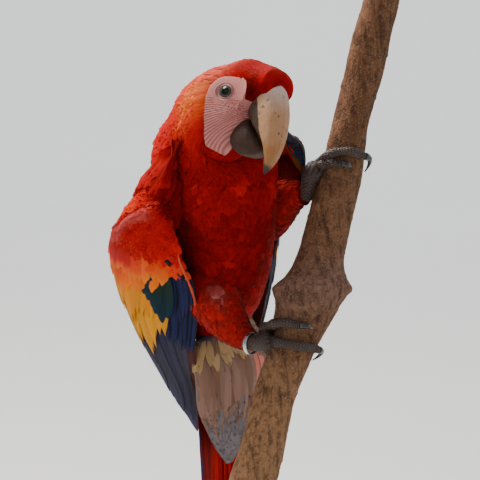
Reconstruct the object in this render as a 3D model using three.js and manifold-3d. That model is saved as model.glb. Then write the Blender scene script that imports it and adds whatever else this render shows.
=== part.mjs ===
// A scarlet macaw at life size, gripping a cut length of branch that a plinth and a rod hold up.
// Millimetres, +Z up, origin on the floor under the middle of the model's box.
//
// In the body frame +Z runs up the spine, -Y is the belly side and +X is the bird's left.
// In the head frame +Z is the crown, -Y is where the bill points and +X is the bird's left.
// Both are placed in the posed frame, where the branch also stands; one group leans that back onto the floor's frame.
import * as THREE from "three";
import { mergeVertices } from "three/addons/utils/BufferGeometryUtils.js";
import Module from "manifold-3d";

const wasm = await Module();
wasm.setup();

// ---------------------------------------------------------------- driving dimensions
const GAP = 0.35; // between touching pieces
const LEAN_BACK = 8; // degrees that the posed group leans back
const EYE_RADIUS = 8;
const EYE_SHOWS = 5.6; // radius of the eye between the lids
const RING_OUTSIDE = 10; // radius of the leg ring
const RING_WALL = 1.1;
const RING_WIDTH = 3.6;
const RING_PLACE = 0.55; // along the first length of the shank
const RING_SLACK = 1.1; // how far the ring hangs below the middle of the shank
const TOE_RADIUS = 4.6;
const BASE_SIZE = [260, 320, 22];
const ROD_RADIUS = 7;
const FLOOR_CLEARANCE = 32; // tail tip to floor

const deg = THREE.MathUtils.degToRad;
const lerp = THREE.MathUtils.lerp;
const vec = (x, y, z) => new THREE.Vector3(x, y, z);
const bell = (x, width) => Math.exp(-((x / width) ** 2));

// A frame as a matrix: an origin and three turns in degrees, applied in the named order.
function frame(origin, turns, order) {
  const turn = new THREE.Euler(...turns.map(deg), order);
  return new THREE.Matrix4().makeRotationFromEuler(turn).setPosition(origin);
}

const BODY = frame(vec(-16, 0, 60), [45.4, -1.7, 33.6], "XYZ");
const HEAD = frame(vec(35, -84, 132), [7.9, 14.4, 47.8], "ZXY");
// A section lies across +Z with its back side at +Y. In the head those are the bill's way and the crown.
const HEAD_SECTION = HEAD.clone().multiply(new THREE.Matrix4().makeRotationX(deg(90)));

// ---------------------------------------------------------------- tools
// The smooth curve through rows of numbers, each row a station, at a place from 0 to 1 along the list.
function along(rows, t) {
  const at = THREE.MathUtils.clamp(t, 0, 1) * (rows.length - 1);
  const i = Math.min(Math.floor(at), rows.length - 2);
  const f = at - i;
  const row = (k, n) => {
    if (k < 0) return 2 * rows[0][n] - rows[1][n];
    if (k >= rows.length) return 2 * rows.at(-1)[n] - rows.at(-2)[n];
    return rows[k][n];
  };
  return rows[0].map((_, n) => {
    const [a, b, c, d] = [row(i - 1, n), row(i, n), row(i + 1, n), row(i + 2, n)];
    return b + 0.5 * f * (c - a + f * (2 * a - 5 * b + 4 * c - d + f * (3 * (b - c) + d - a)));
  });
}

// The list of make(0) to make(1) in that many equal steps.
const steps = (count, make) => Array.from({ length: count + 1 }, (_, i) => make(i / count));

// A closed surface through rings of an even number of points. Each end is capped by a ladder of faces from the ring's
// one half to its other half, so that a section may be a bent slab.
function tube(rings) {
  const n = rings[0].length;
  const faces = [];
  const quad = (a, b, c, d) => faces.push(a, b, c, a, c, d);
  for (let r = 0; r + 1 < rings.length; r++)
    for (let k = 0; k < n; k++) {
      const [a, b] = [r * n + k, r * n + ((k + 1) % n)];
      quad(a, b, b + n, a + n);
    }
  const top = (rings.length - 1) * n;
  for (let k = 0; k < n / 2 - 1; k++) {
    const [a, b, c, d] = [k, k + 1, n - 2 - k, n - 1 - k];
    quad(a, d, c, b);
    quad(top + a, top + b, top + c, top + d);
  }
  const geometry = new THREE.BufferGeometry().setFromPoints(rings.flat());
  geometry.setIndex(faces);
  return geometry;
}

function turnedOut(geometry) {
  const index = Array.from(geometry.index.array);
  for (let i = 0; i < index.length; i += 3) [index[i + 1], index[i + 2]] = [index[i + 2], index[i + 1]];
  return geometry.clone().setIndex(index);
}

function solid(geometry) {
  const bare = geometry.clone();
  bare.deleteAttribute("normal");
  bare.deleteAttribute("uv");
  const merged = mergeVertices(bare, 1e-4);
  const mesh = new wasm.Mesh({
    numProp: 3,
    vertProperties: merged.attributes.position.array,
    triVerts: new Uint32Array(merged.index.array),
  });
  const made = new wasm.Manifold(mesh);
  return made.volume() < 0 ? solid(turnedOut(merged)) : made;
}

// A solid through rings, a solid less others that cross it, and a solid with others joined to it.
const loft = (rings) => solid(tube(rings));
const without = (made, ...others) => others.reduce((rest, other) => rest.subtract(other), made);
const joined = (...pieces) => pieces.reduce((all, piece) => all.add(piece));

// The largest body of a solid as a geometry, because cuts can leave crumbs.
function shape(made) {
  const biggest = made.decompose().reduce((a, b) => (a.volume() > b.volume() ? a : b));
  const mesh = biggest.getMesh();
  const positions = new Float32Array(mesh.numVert * 3);
  for (let i = 0; i < mesh.numVert; i++)
    positions.set(mesh.vertProperties.subarray(i * mesh.numProp, i * mesh.numProp + 3), i * 3);
  const geometry = new THREE.BufferGeometry();
  geometry.setAttribute("position", new THREE.BufferAttribute(positions, 3));
  geometry.setIndex(new THREE.BufferAttribute(mesh.triVerts, 1));
  return geometry;
}

// Points round an oval: half as wide as wide, reaching up and down from its middle. A power under 1 squares it.
function oval(wide, up, down, count, power = 1) {
  const bend = (x) => Math.sign(x) * Math.abs(x) ** power;
  return Array.from({ length: count }, (_, k) => {
    const a = (2 * Math.PI * k) / count;
    return [wide * bend(Math.cos(a)), (Math.sin(a) > 0 ? up : down) * bend(Math.sin(a))];
  });
}

// Round rings along a path of [x, y, z, radius] rows.
function limb(rows, count, around, grow = 0) {
  const at = (t) => vec(...along(rows, t));
  return steps(count, (t) => {
    const way = at(Math.min(t + 0.01, 1)).sub(at(Math.max(t - 0.01, 0))).normalize();
    const side = vec(0, 1, 0).cross(way).normalize();
    const other = way.clone().cross(side);
    const radius = along(rows, t)[3] + grow;
    return oval(radius, radius, radius, around).map(([a, b]) => at(t).addScaledVector(side, a).addScaledVector(other, b));
  });
}

// ---------------------------------------------------------------- trunk, neck and head
// Trunk stations: height up the spine, how far the middle lies to the back, half width, depth to the back, to the belly.
const TRUNK = [
  [-232, 20, 20, 9, 10],
  [-200, 15, 30, 22, 22],
  [-158, 9, 36, 37, 37],
  [-115, 4, 40, 51, 44],
  [-72, 1, 44.5, 59.5, 46],
  [-35, 0, 47, 70, 45],
  [0, 1, 52, 75, 39],
];
// Head stations: how far behind the culmen base, height of the middle, half width, height to the crown, to the throat.
const SKULL = [
  [54, -35, 30, 48, 38],
  [43, -37, 27, 55.5, 35],
  [33, -33, 24, 52, 34],
  [24, -25, 21.3, 42, 22],
  [16, -13, 20.3, 29, 16],
  [8, -5, 19.6, 19.6, 13],
  [2, -2, 18.8, 13.8, 11],
  [-0.5, -1, 13, 7, 8],
];
const NECK = [
  [44, 52.5, 41],
  [38.5, 43, 38],
]; // half width, depth to the nape, depth to the throat
const NECK_PULL = 40; // how far the neck keeps the spine's direction
const HEAD_PULL = 12; // and how far the head's direction reaches back into it
const BODY_POWER = 0.92;
const BODY_AROUND = 24;

function bodyStations() {
  const placed = (matrix, x, y, z, size) => ({
    at: vec(x, y, z).applyMatrix4(matrix),
    turn: new THREE.Quaternion().setFromRotationMatrix(matrix),
    size,
  });
  const trunk = TRUNK.map(([up, back, ...size]) => placed(BODY, 0, back, up, size));
  const head = SKULL.map(([behind, middle, ...size]) => placed(HEAD_SECTION, 0, middle, -behind, size));
  const [low, high] = [trunk.at(-1), head[0]];
  const way = (station) => vec(0, 0, 1).applyQuaternion(station.turn);
  const bend = new THREE.CubicBezierCurve3(
    low.at,
    low.at.clone().addScaledVector(way(low), NECK_PULL),
    high.at.clone().addScaledVector(way(high), -HEAD_PULL),
    high.at,
  );
  const neck = NECK.map((size, i) => {
    const t = (i + 1) / (NECK.length + 1);
    return { at: bend.getPoint(t), turn: low.turn.clone().slerp(high.turn, t * t), size };
  });
  return [...trunk, ...neck, ...head];
}

const STATIONS = bodyStations();
const STATION_ROWS = STATIONS.map((s) => [...s.at.toArray(), ...s.size]);

// The body's ring at a place from 0, the tail root, to 1, the bill's root. grow makes it that much fatter.
function bodyRing(t, count, grow = 0) {
  const [x, y, z, wide, up, down] = along(STATION_ROWS, t);
  const at = THREE.MathUtils.clamp(t, 0, 1) * (STATIONS.length - 1);
  const i = Math.min(Math.floor(at), STATIONS.length - 2);
  const turn = STATIONS[i].turn.clone().slerp(STATIONS[i + 1].turn, at - i);
  return oval(wide + grow, up + grow, down + grow, count, BODY_POWER).map(([a, b]) =>
    vec(a, b, 0).applyQuaternion(turn).add(vec(x, y, z)),
  );
}

const bodyLength = (from, to, count, grow = 0) =>
  loft(steps(count, (t) => bodyRing(lerp(from, to, t), BODY_AROUND, grow)));
const station = (n) => n / (STATIONS.length - 1);
const NECK_FROM = station(6);
const NECK_TO = station(8.6);
const SPLIT = 0.0015; // of the body's length, left open between two lengths of it

const bodyGrown = bodyLength(0, 1, 34, GAP);
const trunk = bodyLength(0, NECK_FROM - SPLIT, 13);
const neck = bodyLength(NECK_FROM + SPLIT, NECK_TO - SPLIT, 7);
const skull = bodyLength(NECK_TO + SPLIT, 1, 14);

// ---------------------------------------------------------------- bill
// Profile curves in the head's middle plane: [forward, up] from the culmen base.
const CULMEN = [[-6, 3], [1.5, -1], [9, -10], [14, -24], [17, -41], [17.2, -57], [14.2, -70], [8.5, -78]];
const UPPER_EDGE = [[-24, -22], [-21, -30], [-13, -38], [-5, -46], [1.5, -53], [5, -60], [6.8, -69], [8, -78]];
const UPPER_HALF_WIDTH = [[13.5], [15], [15.2], [14.5], [12.3], [9], [5.5], [1]];
const CHIN = [[-27, -36], [-32, -46], [-33, -55.5], [-28, -62.5], [-19, -65.5], [-8, -65], [0, -61], [3, -58]];
const LOWER_EDGE = [[-21, -31], [-15, -38], [-10, -43], [-5.5, -47.5], [-2, -51], [0.5, -54], [2.4, -56], [3.4, -57.4]];
const LOWER_HALF_WIDTH = [[9], [14], [16], [16], [14], [11], [7], [2.5]];

// Rings from an outer to an inner profile curve. Near the gape the walls run upright to the cutting edge; on the outer
// half the power of the cosine goes from the first of powers at the root to the second.
function billRings(outer, inner, halfWidth, count, around, grow, powers = [0.85, 0.85]) {
  return steps(count, (t) => {
    const [far, near] = [along(outer, t), along(inner, t)].map(([forward, up]) => vec(0, -forward, up));
    const across = far.clone().sub(near);
    const half = across.length() / 2 + grow;
    across.normalize();
    const middle = far.add(near).multiplyScalar(0.5);
    const wide = along(halfWidth, t)[0] + grow;
    const inside = lerp(0.4, 0.85, THREE.MathUtils.smoothstep(t, 0.3, 0.65));
    const outside = lerp(...powers, THREE.MathUtils.smoothstep(t, 0.05, 0.35));
    return oval(1, half, half, around, 0.85).map(([a, b]) => {
      const side = wide * Math.sign(a) * Math.abs(a) ** ((b < 0 ? inside : outside) / 0.85);
      return middle.clone().addScaledVector(across, b).add(vec(side, 0, 0)).applyMatrix4(HEAD);
    });
  });
}

const upperBill = (grow = 0) => loft(billRings(CULMEN, UPPER_EDGE, UPPER_HALF_WIDTH, 12, 12, grow, [0.55, 1.05]));
const lowerBill = (grow = 0) => loft(billRings(CHIN, LOWER_EDGE, LOWER_HALF_WIDTH, 8, 12, grow));

// ---------------------------------------------------------------- eyes
const EYE_AT = [23.7, 40, -16.2]; // from the culmen base: to the side, behind, up

function eye(side, grow = 0) {
  const ball = new THREE.SphereGeometry(EYE_RADIUS + grow, 12, 8);
  const depth = Math.sqrt(EYE_RADIUS ** 2 - EYE_SHOWS ** 2);
  ball.applyMatrix4(new THREE.Matrix4().makeTranslation(side * (EYE_AT[0] - depth), EYE_AT[1], EYE_AT[2]));
  return solid(ball.applyMatrix4(HEAD));
}

// ---------------------------------------------------------------- wings
// Wing stations in the body frame, for the left wing: height along the spine, thickness, then the side and the back of
// four points round the section, from the leading edge at the belly, over the flank and the shoulder, to the back.
const WING = [
  [18, 6, 60, -12, 65, -2, 61, 16, 56, 28],
  [-10, 23, 66, -25, 78, -2, 76, 25, 62, 44],
  [-36, 26, 64, -32, 84, 4, 85, 40, 46, 57],
  [-68, 24, 60, -35, 86, 8, 88, 50, 30, 61],
  [-107, 18, 54, -34, 83, 12, 85, 56, 20, 58],
  [-150, 12, 49, -27, 78, 14, 79, 52, 16, 53],
  [-205, 10, 43, -15, 66, 15, 68, 44, 13, 47],
  [-265, 6, 34, 3, 49, 20, 51, 39, 13, 42],
  [-325, 4, 25, 19, 33, 27, 33, 37, 14, 41],
  [-362, 2, 19, 28, 21, 31, 22, 34, 15, 37],
];
const WING_EDGE = 0.8; // thickness of the wing's edges
const WING_SEAM = 0.004;
const WING_SPLIT = 0.4; // where the coverts' solid ends and the flight feathers' begins
// How the left wing differs: away from the flank, lower, its leading edge tucked to the back further down, and thinner.
const WING_CARRY = { left: { away: 8, drop: 6, tuck: 20, full: 0.8 }, right: { away: 0, drop: 0, tuck: 0, full: 1 } };

function wingRing(side, t, grow = 0) {
  const { away, drop, tuck, full } = WING_CARRY[side];
  const sign = side === "left" ? 1 : -1;
  const [height, thickness, ...points] = along(WING, t);
  const thick = thickness * full;
  const up = height - drop * (1 - t) ** 3;
  const spread = away * bell(t - 0.18, 0.14);
  const tucked = tuck * bell(t - 0.45, 0.3);
  const round = steps(3, (f) => {
    const k = Math.round(3 * f) * 2;
    return [points[k] + spread - tucked * (1 - f) * 0.5, points[k + 1] + tucked * (1 - f), up + 8 * (0.5 - f)];
  });
  const at = (f) => vec(...along(round, f));
  const face = (f, depth) => {
    const way = at(Math.min(f + 0.02, 1)).sub(at(Math.max(f - 0.02, 0))).normalize();
    const beyond = grow * ((f === 1 ? 1 : 0) - (f === 0 ? 1 : 0));
    return at(f).addScaledVector(vec(-way.y, way.x, 0).normalize(), depth).addScaledVector(way, beyond);
  };
  const depth = (f) => WING_EDGE + (thick - WING_EDGE) * Math.sin(Math.PI * f) ** 0.7;
  const outer = steps(8, (f) => face(f, -grow));
  const inner = steps(8, (f) => face(1 - f, depth(f) + grow));
  return [...outer, ...inner].map((p) => vec(sign * p.x, p.y, p.z).applyMatrix4(BODY));
}

const wingPart = (side, from, to, count, grow = 0) =>
  loft(steps(count, (t) => wingRing(side, lerp(from, to, t), grow)));

// ---------------------------------------------------------------- tail
// Tail stations: distance from the root, half width, half thickness, how far to the back.
const TAIL = [
  [0, 25, 7, 20],
  [60, 32, 7.5, 20],
  [140, 33.5, 7, 19],
  [220, 30.5, 6, 18],
  [300, 23, 5, 17],
  [380, 16, 3.6, 16],
  [440, 9, 2.4, 15],
  [476, 3, 1.2, 14],
];
const TAIL_ROOT = -208;
const TAIL_LEAN = 0.02; // the tail swings to the bird's right by this much of its length
const COVERTS = [
  [0, 26, 9, 0],
  [30, 38.5, 12, -3],
  [80, 39.5, 12, -4],
  [125, 28.5, 9, -2],
  [165, 15, 5, 1],
  [192, 4, 1.6, 4],
];
const COVERTS_ROOT = -196;

function tailRings(rows, root, count, around, grow = 0) {
  return steps(count, (t) => {
    const [down, wide, thick, back] = along(rows, t);
    return oval(wide + grow, thick + grow, thick + grow, around, 0.9).map(([a, b]) =>
      vec(a - TAIL_LEAN * down, back + b, root - down).applyMatrix4(BODY),
    );
  });
}

// ---------------------------------------------------------------- branch
// Branch stations, evenly spaced up the posed frame from BRANCH_LOW to BRANCH_HIGH: side, away, radius.
const BRANCH_LOW = -300;
const BRANCH_HIGH = 260;
const BRANCH = [
  [-10.5, 28, 23],
  [-0.3, 28, 22.5],
  [10, 28, 22],
  [20.3, 28, 21],
  [30.5, 28, 20.2],
  [44.5, 28, 20.8],
  [60, 28, 24],
  [69.5, 28, 22],
  [80.5, 28, 20],
  [89.7, 28, 19.2],
  [97.7, 28, 17.6],
  [107.4, 28, 17.4],
  [117.3, 28, 17.2],
  [127.2, 28, 17],
  [137, 28, 17],
];
const KNOT_AT = -42;
const branchPlace = (up) => (up - BRANCH_LOW) / (BRANCH_HIGH - BRANCH_LOW);

function branchAt(up) {
  const [x, y, radius] = along(BRANCH, branchPlace(up));
  return { centre: vec(x, y, up), radius };
}

// Radius at an angle, with the knot, its two stubs and the bark's slow waves.
function branchRadius(up, angle) {
  const { radius } = branchAt(up);
  const knot = 7 * bell(up - KNOT_AT, 17) + 3 * bell(up - KNOT_AT + 24, 20);
  const stub = (at, height, reach) => {
    const off = Math.atan2(Math.sin(angle - at), Math.cos(angle - at));
    return reach * bell(off, 0.38) * bell(up - height, 7);
  };
  const waves = 0.7 * Math.sin(2 * angle + up / 21) + 0.5 * Math.sin(3 * angle - up / 13);
  return radius + knot + stub(Math.PI, KNOT_AT - 1, 5.5) + stub(0, KNOT_AT - 2, 6) + waves;
}

function branch(grow = 0) {
  const rows = 28;
  const around = 12;
  return loft(
    steps(rows, (t) => {
      const up = lerp(BRANCH_LOW, BRANCH_HIGH, t);
      const { centre } = branchAt(up);
      return Array.from({ length: around }, (_, k) => {
        const angle = (2 * Math.PI * k) / around;
        const reach = branchRadius(up, angle) + grow;
        return centre.clone().add(vec(reach * Math.cos(angle), -reach * Math.sin(angle), 0));
      });
    }),
  );
}

// ---------------------------------------------------------------- legs and feet
// Feathered thighs: rows of side, away, up and radius, in the posed frame, from the hip to the ankle.
const THIGHS = {
  right: [
    [-26, 76, -22, 18],
    [-28, 60, -40, 24],
    [-18, 46, -62, 22],
    [-4, 34, -80, 15],
    [9, 26, -90, 8.5],
  ],
  left: [
    [8, 84, 4, 18],
    [20, 70, 18, 23],
    [34, 54, 33, 21],
    [48, 40, 40, 14],
    [58, 32, 40, 8],
  ],
};
// Bare shanks, from the ankle to the sole.
const SHANKS = {
  right: [
    [5, 25, -90, 6.6],
    [14, 18, -91, 7],
    [22, 11, -90, 8],
    [27, 7, -88, 8],
  ],
  left: [
    [59, 33, 38, 6.6],
    [61, 27, 48, 7],
    [63, 18, 58, 8],
    [66, 9, 63, 8],
  ],
};
// The way of a toe and then its claw round the branch: [angle, height] points, of which the third is the claw's root.
// Angle 180 is the side that the bird is on, 90 the front and 270 behind.
const TOES = {
  right: [
    { name: "outer_front", path: [[172, -86], [98, -92], [26, -97], [10, -101], [-6, -107]] },
    { name: "inner_front", path: [[164, -78], [128, -73], [92, -75], [78, -76], [64, -78]] },
    { name: "outer_back", path: [[178, -93], [240, -99], [300, -104], [316, -107], [330, -111]] },
    { name: "inner_back", path: [[184, -84], [222, -81], [262, -80], [277, -81], [292, -83]] },
  ],
  left: [
    { name: "outer_front", path: [[170, 65], [102, 78], [36, 74], [18, 69], [2, 60]] },
    { name: "inner_front", path: [[160, 61], [128, 68], [92, 67], [78, 66], [64, 64]] },
    { name: "outer_back", path: [[178, 55], [240, 54], [300, 52], [316, 50], [330, 46]] },
    { name: "inner_back", path: [[184, 64], [222, 67], [262, 68], [277, 67], [292, 64]] },
  ],
};
const KNUCKLES = 3;
const TOE_CLEAR = 0.9; // between a toe and the branch, whose knot bulges under the longer ones
const CLAW_START = 0.06; // of the claw's length, left open between it and the toe

function grip(angle, up, off) {
  const { centre } = branchAt(up);
  const turn = deg(angle);
  const reach = branchRadius(up, turn) + off;
  return centre.add(vec(reach * Math.cos(turn), -reach * Math.sin(turn), 0));
}

// Rows for limb() along a toe, and along the claw that goes on from it.
function toeRows({ path }) {
  return steps(9, (t) => {
    const swell = 1 + 0.1 * Math.cos(2 * Math.PI * KNUCKLES * t);
    const thick = TOE_RADIUS * lerp(1.12, 0.8, t) * swell;
    return [...grip(...along(path, t / 2), thick + TOE_CLEAR), thick];
  });
}

function clawRows({ path }) {
  return steps(5, (t) => {
    const place = lerp(CLAW_START, 1, t);
    const thick = lerp(0.74 * TOE_RADIUS, 0.5, place);
    const off = lerp(TOE_RADIUS * 0.88, thick, place) + TOE_CLEAR + 2.2 * Math.sin(Math.PI * place);
    return [...grip(...along(path, (1 + place) / 2), off), thick];
  });
}

const toe = (row) => loft(limb(toeRows(row), 8, 8));
const claw = (row) => loft(limb(clawRows(row), 4, 6));
const shank = (side) => loft(limb(SHANKS[side], 4, 10));

// The ring round the right shank, about the line between two of its rows.
function legRing() {
  const [from, to] = [vec(...SHANKS.right[0]), vec(...SHANKS.right[1])];
  const half = RING_WIDTH / 2;
  const inside = RING_OUTSIDE - RING_WALL;
  const profile = [[inside, -half], [RING_OUTSIDE, -half], [RING_OUTSIDE, half], [inside, half], [inside, -half]];
  const band = new THREE.LatheGeometry(profile.map((p) => new THREE.Vector2(...p)), 20);
  const way = to.clone().sub(from).normalize();
  const turn = new THREE.Quaternion().setFromUnitVectors(vec(0, 1, 0), way);
  const at = from.lerp(to, RING_PLACE).add(vec(0, 0, -RING_SLACK));
  return solid(band.applyQuaternion(turn).translate(at.x, at.y, at.z));
}

// ---------------------------------------------------------------- stand
// In the floor's frame, before the model is shifted to its origin.
const BASE_MIDDLE = [8, 78];
const BASE_CORNER = 26;
const BASE_BEVEL = 3;
const FLANGE = { radius: 22, height: 5 };

function plinth(floor) {
  const [width, depth, height] = BASE_SIZE;
  const [x, y] = [width / 2 - BASE_BEVEL, depth / 2 - BASE_BEVEL];
  const r = BASE_CORNER;
  const outline = new THREE.Shape();
  outline.moveTo(-x + r, -y);
  outline.absarc(x - r, -y + r, r, -Math.PI / 2, 0);
  outline.absarc(x - r, y - r, r, 0, Math.PI / 2);
  outline.absarc(-x + r, y - r, r, Math.PI / 2, Math.PI);
  outline.absarc(-x + r, -y + r, r, Math.PI, 1.5 * Math.PI);
  const bevel = { bevelThickness: BASE_BEVEL, bevelSize: BASE_BEVEL, bevelSegments: 1 };
  const slab = new THREE.ExtrudeGeometry(outline, { depth: height - 2 * BASE_BEVEL, curveSegments: 4, ...bevel });
  return solid(slab.translate(BASE_MIDDLE[0], BASE_MIDDLE[1], floor + BASE_BEVEL));
}

function upright(radius, from, to, foot) {
  const post = new THREE.CylinderGeometry(radius, radius, to - from, 16).rotateX(Math.PI / 2);
  return solid(post.translate(foot.x, foot.y, (from + to) / 2));
}

// ---------------------------------------------------------------- the group
const COLOURS = {
  red: [0xa81410, 0.8, 0],
  flight: [0x24407a, 0.6, 0],
  coverts: [0xb7b0a4, 0.8, 0],
  ivory: [0xd9b896, 0.35, 0],
  horn: [0x2a2624, 0.35, 0],
  iris: [0x9aa090, 0.1, 0],
  scale: [0x3c3430, 0.6, 0],
  ring: [0xc8ccd0, 0.3, 1],
  bark: [0x6e5442, 0.9, 0],
  wood: [0x3a2a20, 0.5, 0],
  steel: [0x909498, 0.3, 1],
};

const macaw = new THREE.Group();
const posed = new THREE.Group();
posed.rotation.x = deg(-LEAN_BACK);
macaw.add(posed);

function piece(group, name, made, finish) {
  const [color, roughness, metalness] = COLOURS[finish];
  const mesh = new THREE.Mesh(shape(made), new THREE.MeshStandardMaterial({ color, roughness, metalness }));
  mesh.name = name;
  group.add(mesh);
}

const perch = branch();
const perchGrown = branch(GAP);
const billGrown = [upperBill(GAP), lowerBill(GAP)];
piece(posed, "trunk", trunk, "red");
piece(posed, "neck", neck, "red");
piece(posed, "head", without(skull, ...billGrown, eye(1, GAP), eye(-1, GAP)), "red");
piece(posed, "bill_upper", upperBill(), "ivory");
piece(posed, "bill_lower", without(lowerBill(), upperBill(GAP)), "horn");
piece(posed, "perch", perch, "bark");

const tail = loft(tailRings(TAIL, TAIL_ROOT, 10, 12));
const tailGrown = loft(tailRings(TAIL, TAIL_ROOT, 10, 12, GAP));
const [coverts, covertsGrown] = [0, GAP].map((grow) => loft(tailRings(COVERTS, COVERTS_ROOT, 7, 12, grow)));
piece(posed, "tail", without(tail, bodyGrown), "red");
piece(posed, "tail_coverts", without(coverts, bodyGrown, tailGrown), "coverts");

for (const [side, sign] of [["left", 1], ["right", -1]]) {
  const [cover, coverGrown] = [0, GAP].map((grow) => wingPart(side, 0, WING_SPLIT, 8, grow));
  const [flight, flightGrown] = [0, GAP].map((grow) => wingPart(side, WING_SPLIT + WING_SEAM, 1, 10, grow));
  const seamGrown = wingPart(side, WING_SPLIT - WING_SEAM, WING_SPLIT + 2 * WING_SEAM, 1, GAP);
  const thigh = loft(limb(THIGHS[side], 7, 12));
  const thighGrown = loft(limb(THIGHS[side], 7, 12, GAP));
  piece(posed, `eye_${side}`, eye(sign), "iris");
  piece(posed, `wing_${side}`, without(cover, bodyGrown), "red");
  piece(posed, `wing_${side}_flight`, without(flight, bodyGrown, tailGrown, covertsGrown), "flight");
  piece(posed, `thigh_${side}`, without(thigh, bodyGrown, coverGrown, seamGrown, flightGrown, perchGrown), "red");
  const foot = joined(without(shank(side), perchGrown, thighGrown), ...TOES[side].map((row) => toe(row)));
  piece(posed, `foot_${side}`, foot, "scale");
  for (const row of TOES[side]) piece(posed, `claw_${side}_${row.name}`, claw(row), "horn");
}
piece(posed, "leg_ring", without(legRing(), loft(limb(THIGHS.right, 7, 12, GAP))), "ring");

// The stand: the rod rises from a flange on the plinth into the lower end of the branch.
posed.updateMatrixWorld(true);
const floor = new THREE.Box3().setFromObject(posed, true).min.z - FLOOR_CLEARANCE;
const branchEnd = branchAt(BRANCH_LOW).centre.applyMatrix4(posed.matrixWorld);
const rod = upright(ROD_RADIUS, floor + BASE_SIZE[2] + FLANGE.height + GAP, branchEnd.z + 10, branchEnd);
const perchInFloorFrame = perchGrown.transform(posed.matrixWorld.elements);
const flangeFrom = floor + BASE_SIZE[2] + GAP;
piece(macaw, "stand_base", plinth(floor), "wood");
piece(macaw, "stand_flange", upright(FLANGE.radius, flangeFrom, flangeFrom + FLANGE.height - GAP, branchEnd), "steel");
piece(macaw, "stand_rod", without(rod, perchInFloorFrame), "steel");

// The origin: on the floor under the middle of the box.
const box = new THREE.Box3().setFromObject(macaw, true);
const shift = vec(-(box.min.x + box.max.x) / 2, -(box.min.y + box.max.y) / 2, -floor);
for (const child of macaw.children) child.position.copy(shift);

export default macaw;
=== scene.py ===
# %% [markdown]
# # A scarlet macaw on a cut branch
# The bird clings to a branch with both feet, its body leaning to the viewer, its head turned to its left. The
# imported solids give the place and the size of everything. This file replaces them by finer surfaces in the
# same places: one skin for the flesh, feathers in rows over it, a bill, eyes, scaly feet, bark and a small
# stand. Shapes are worked out in millimetres in the frame in which the bird is posed, then placed in the
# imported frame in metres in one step.

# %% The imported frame
import math

import bpy
import numpy as np
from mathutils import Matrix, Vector

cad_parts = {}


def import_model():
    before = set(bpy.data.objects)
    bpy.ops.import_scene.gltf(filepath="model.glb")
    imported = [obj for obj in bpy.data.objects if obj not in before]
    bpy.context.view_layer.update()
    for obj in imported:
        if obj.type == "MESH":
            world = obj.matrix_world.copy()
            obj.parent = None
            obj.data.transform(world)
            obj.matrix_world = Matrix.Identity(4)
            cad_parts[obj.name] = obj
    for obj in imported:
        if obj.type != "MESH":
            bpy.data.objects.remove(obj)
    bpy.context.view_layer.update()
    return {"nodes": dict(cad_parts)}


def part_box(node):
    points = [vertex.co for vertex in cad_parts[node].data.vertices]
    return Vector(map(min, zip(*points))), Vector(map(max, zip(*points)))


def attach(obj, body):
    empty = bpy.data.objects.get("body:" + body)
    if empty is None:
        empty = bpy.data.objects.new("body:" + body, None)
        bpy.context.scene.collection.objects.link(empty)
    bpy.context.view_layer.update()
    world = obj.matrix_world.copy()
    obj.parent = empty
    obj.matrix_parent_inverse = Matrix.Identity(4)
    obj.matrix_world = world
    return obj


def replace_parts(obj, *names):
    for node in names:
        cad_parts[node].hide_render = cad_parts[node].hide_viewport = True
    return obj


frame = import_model()
print("nodes:", len(frame["nodes"]))

# %% [markdown]
# ## Frames
# The body and the head each have a frame of their own, placed in the posed frame. In the body's, +Z runs up
# the spine, -Y is the belly and +X the bird's left. In the head's, +Z is the crown and -Y is where the bill
# points. The posed frame leans back by a few degrees. The eye's packed box tells how far the whole was moved
# onto its floor.


# %% Frames for the body and the head
def turned(turns, order):
    """The turn made of degrees about X, Y and Z, multiplied in the named order."""
    whole = np.eye(3)
    for axis in order:
        k = "XYZ".index(axis)
        c, s = math.cos(math.radians(turns[k])), math.sin(math.radians(turns[k]))
        one = np.eye(3)
        i, j = (k + 1) % 3, (k + 2) % 3
        one[i, i], one[i, j], one[j, i], one[j, j] = c, -s, s, c
        whole = whole @ one
    return whole


def place(where, points):
    """Points of a frame in the posed frame: turned, then moved to the frame's origin."""
    turn, origin = where
    return np.asarray(points) @ turn.T + origin


def local(where, points):
    """Points of the posed frame in a frame of their own: the inverse of place."""
    turn, origin = where
    return (np.asarray(points) - origin) @ turn


BODY = (turned((45.4, -1.7, 33.6), "XYZ"), np.array((-16.0, 0.0, 60.0)))
HEAD = (turned((7.9, 14.4, 47.8), "ZXY"), np.array((35.0, -84.0, 132.0)))
LEAN = turned((-8.0, 0.0, 0.0), "X")
EYE_RADIUS = 8.0
EYE_SHOWS = 5.6
CHEEK_OUT = 23.7  # from the head's middle plane to the edge of the lids
EYE_AT = np.array((CHEEK_OUT - math.sqrt(EYE_RADIUS**2 - EYE_SHOWS**2), 40, -16.2))  # the left eye


def mirrored(side):
    """Factors that take a point of the left side to the named side."""
    return np.array((1.0 if side == "left" else -1.0, 1.0, 1.0))


low, high = (np.array(corner) * 1000 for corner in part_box("eye_right"))
SHIFT = (low + high) / 2 - LEAN @ place(HEAD, EYE_AT * mirrored("right"))


def world(points):
    """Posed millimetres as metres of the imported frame."""
    return (np.asarray(points) @ LEAN.T + SHIFT) / 1000


print("the posed frame stands at", SHIFT.round(2), "mm")

# %% [markdown]
# ## Smooth curves
# Nearly every shape here is a list of stations, such as half widths along the trunk, joined by one smooth
# curve. The curve passes through each station, so a number in a list is a size that can be measured on the
# bird.


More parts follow.
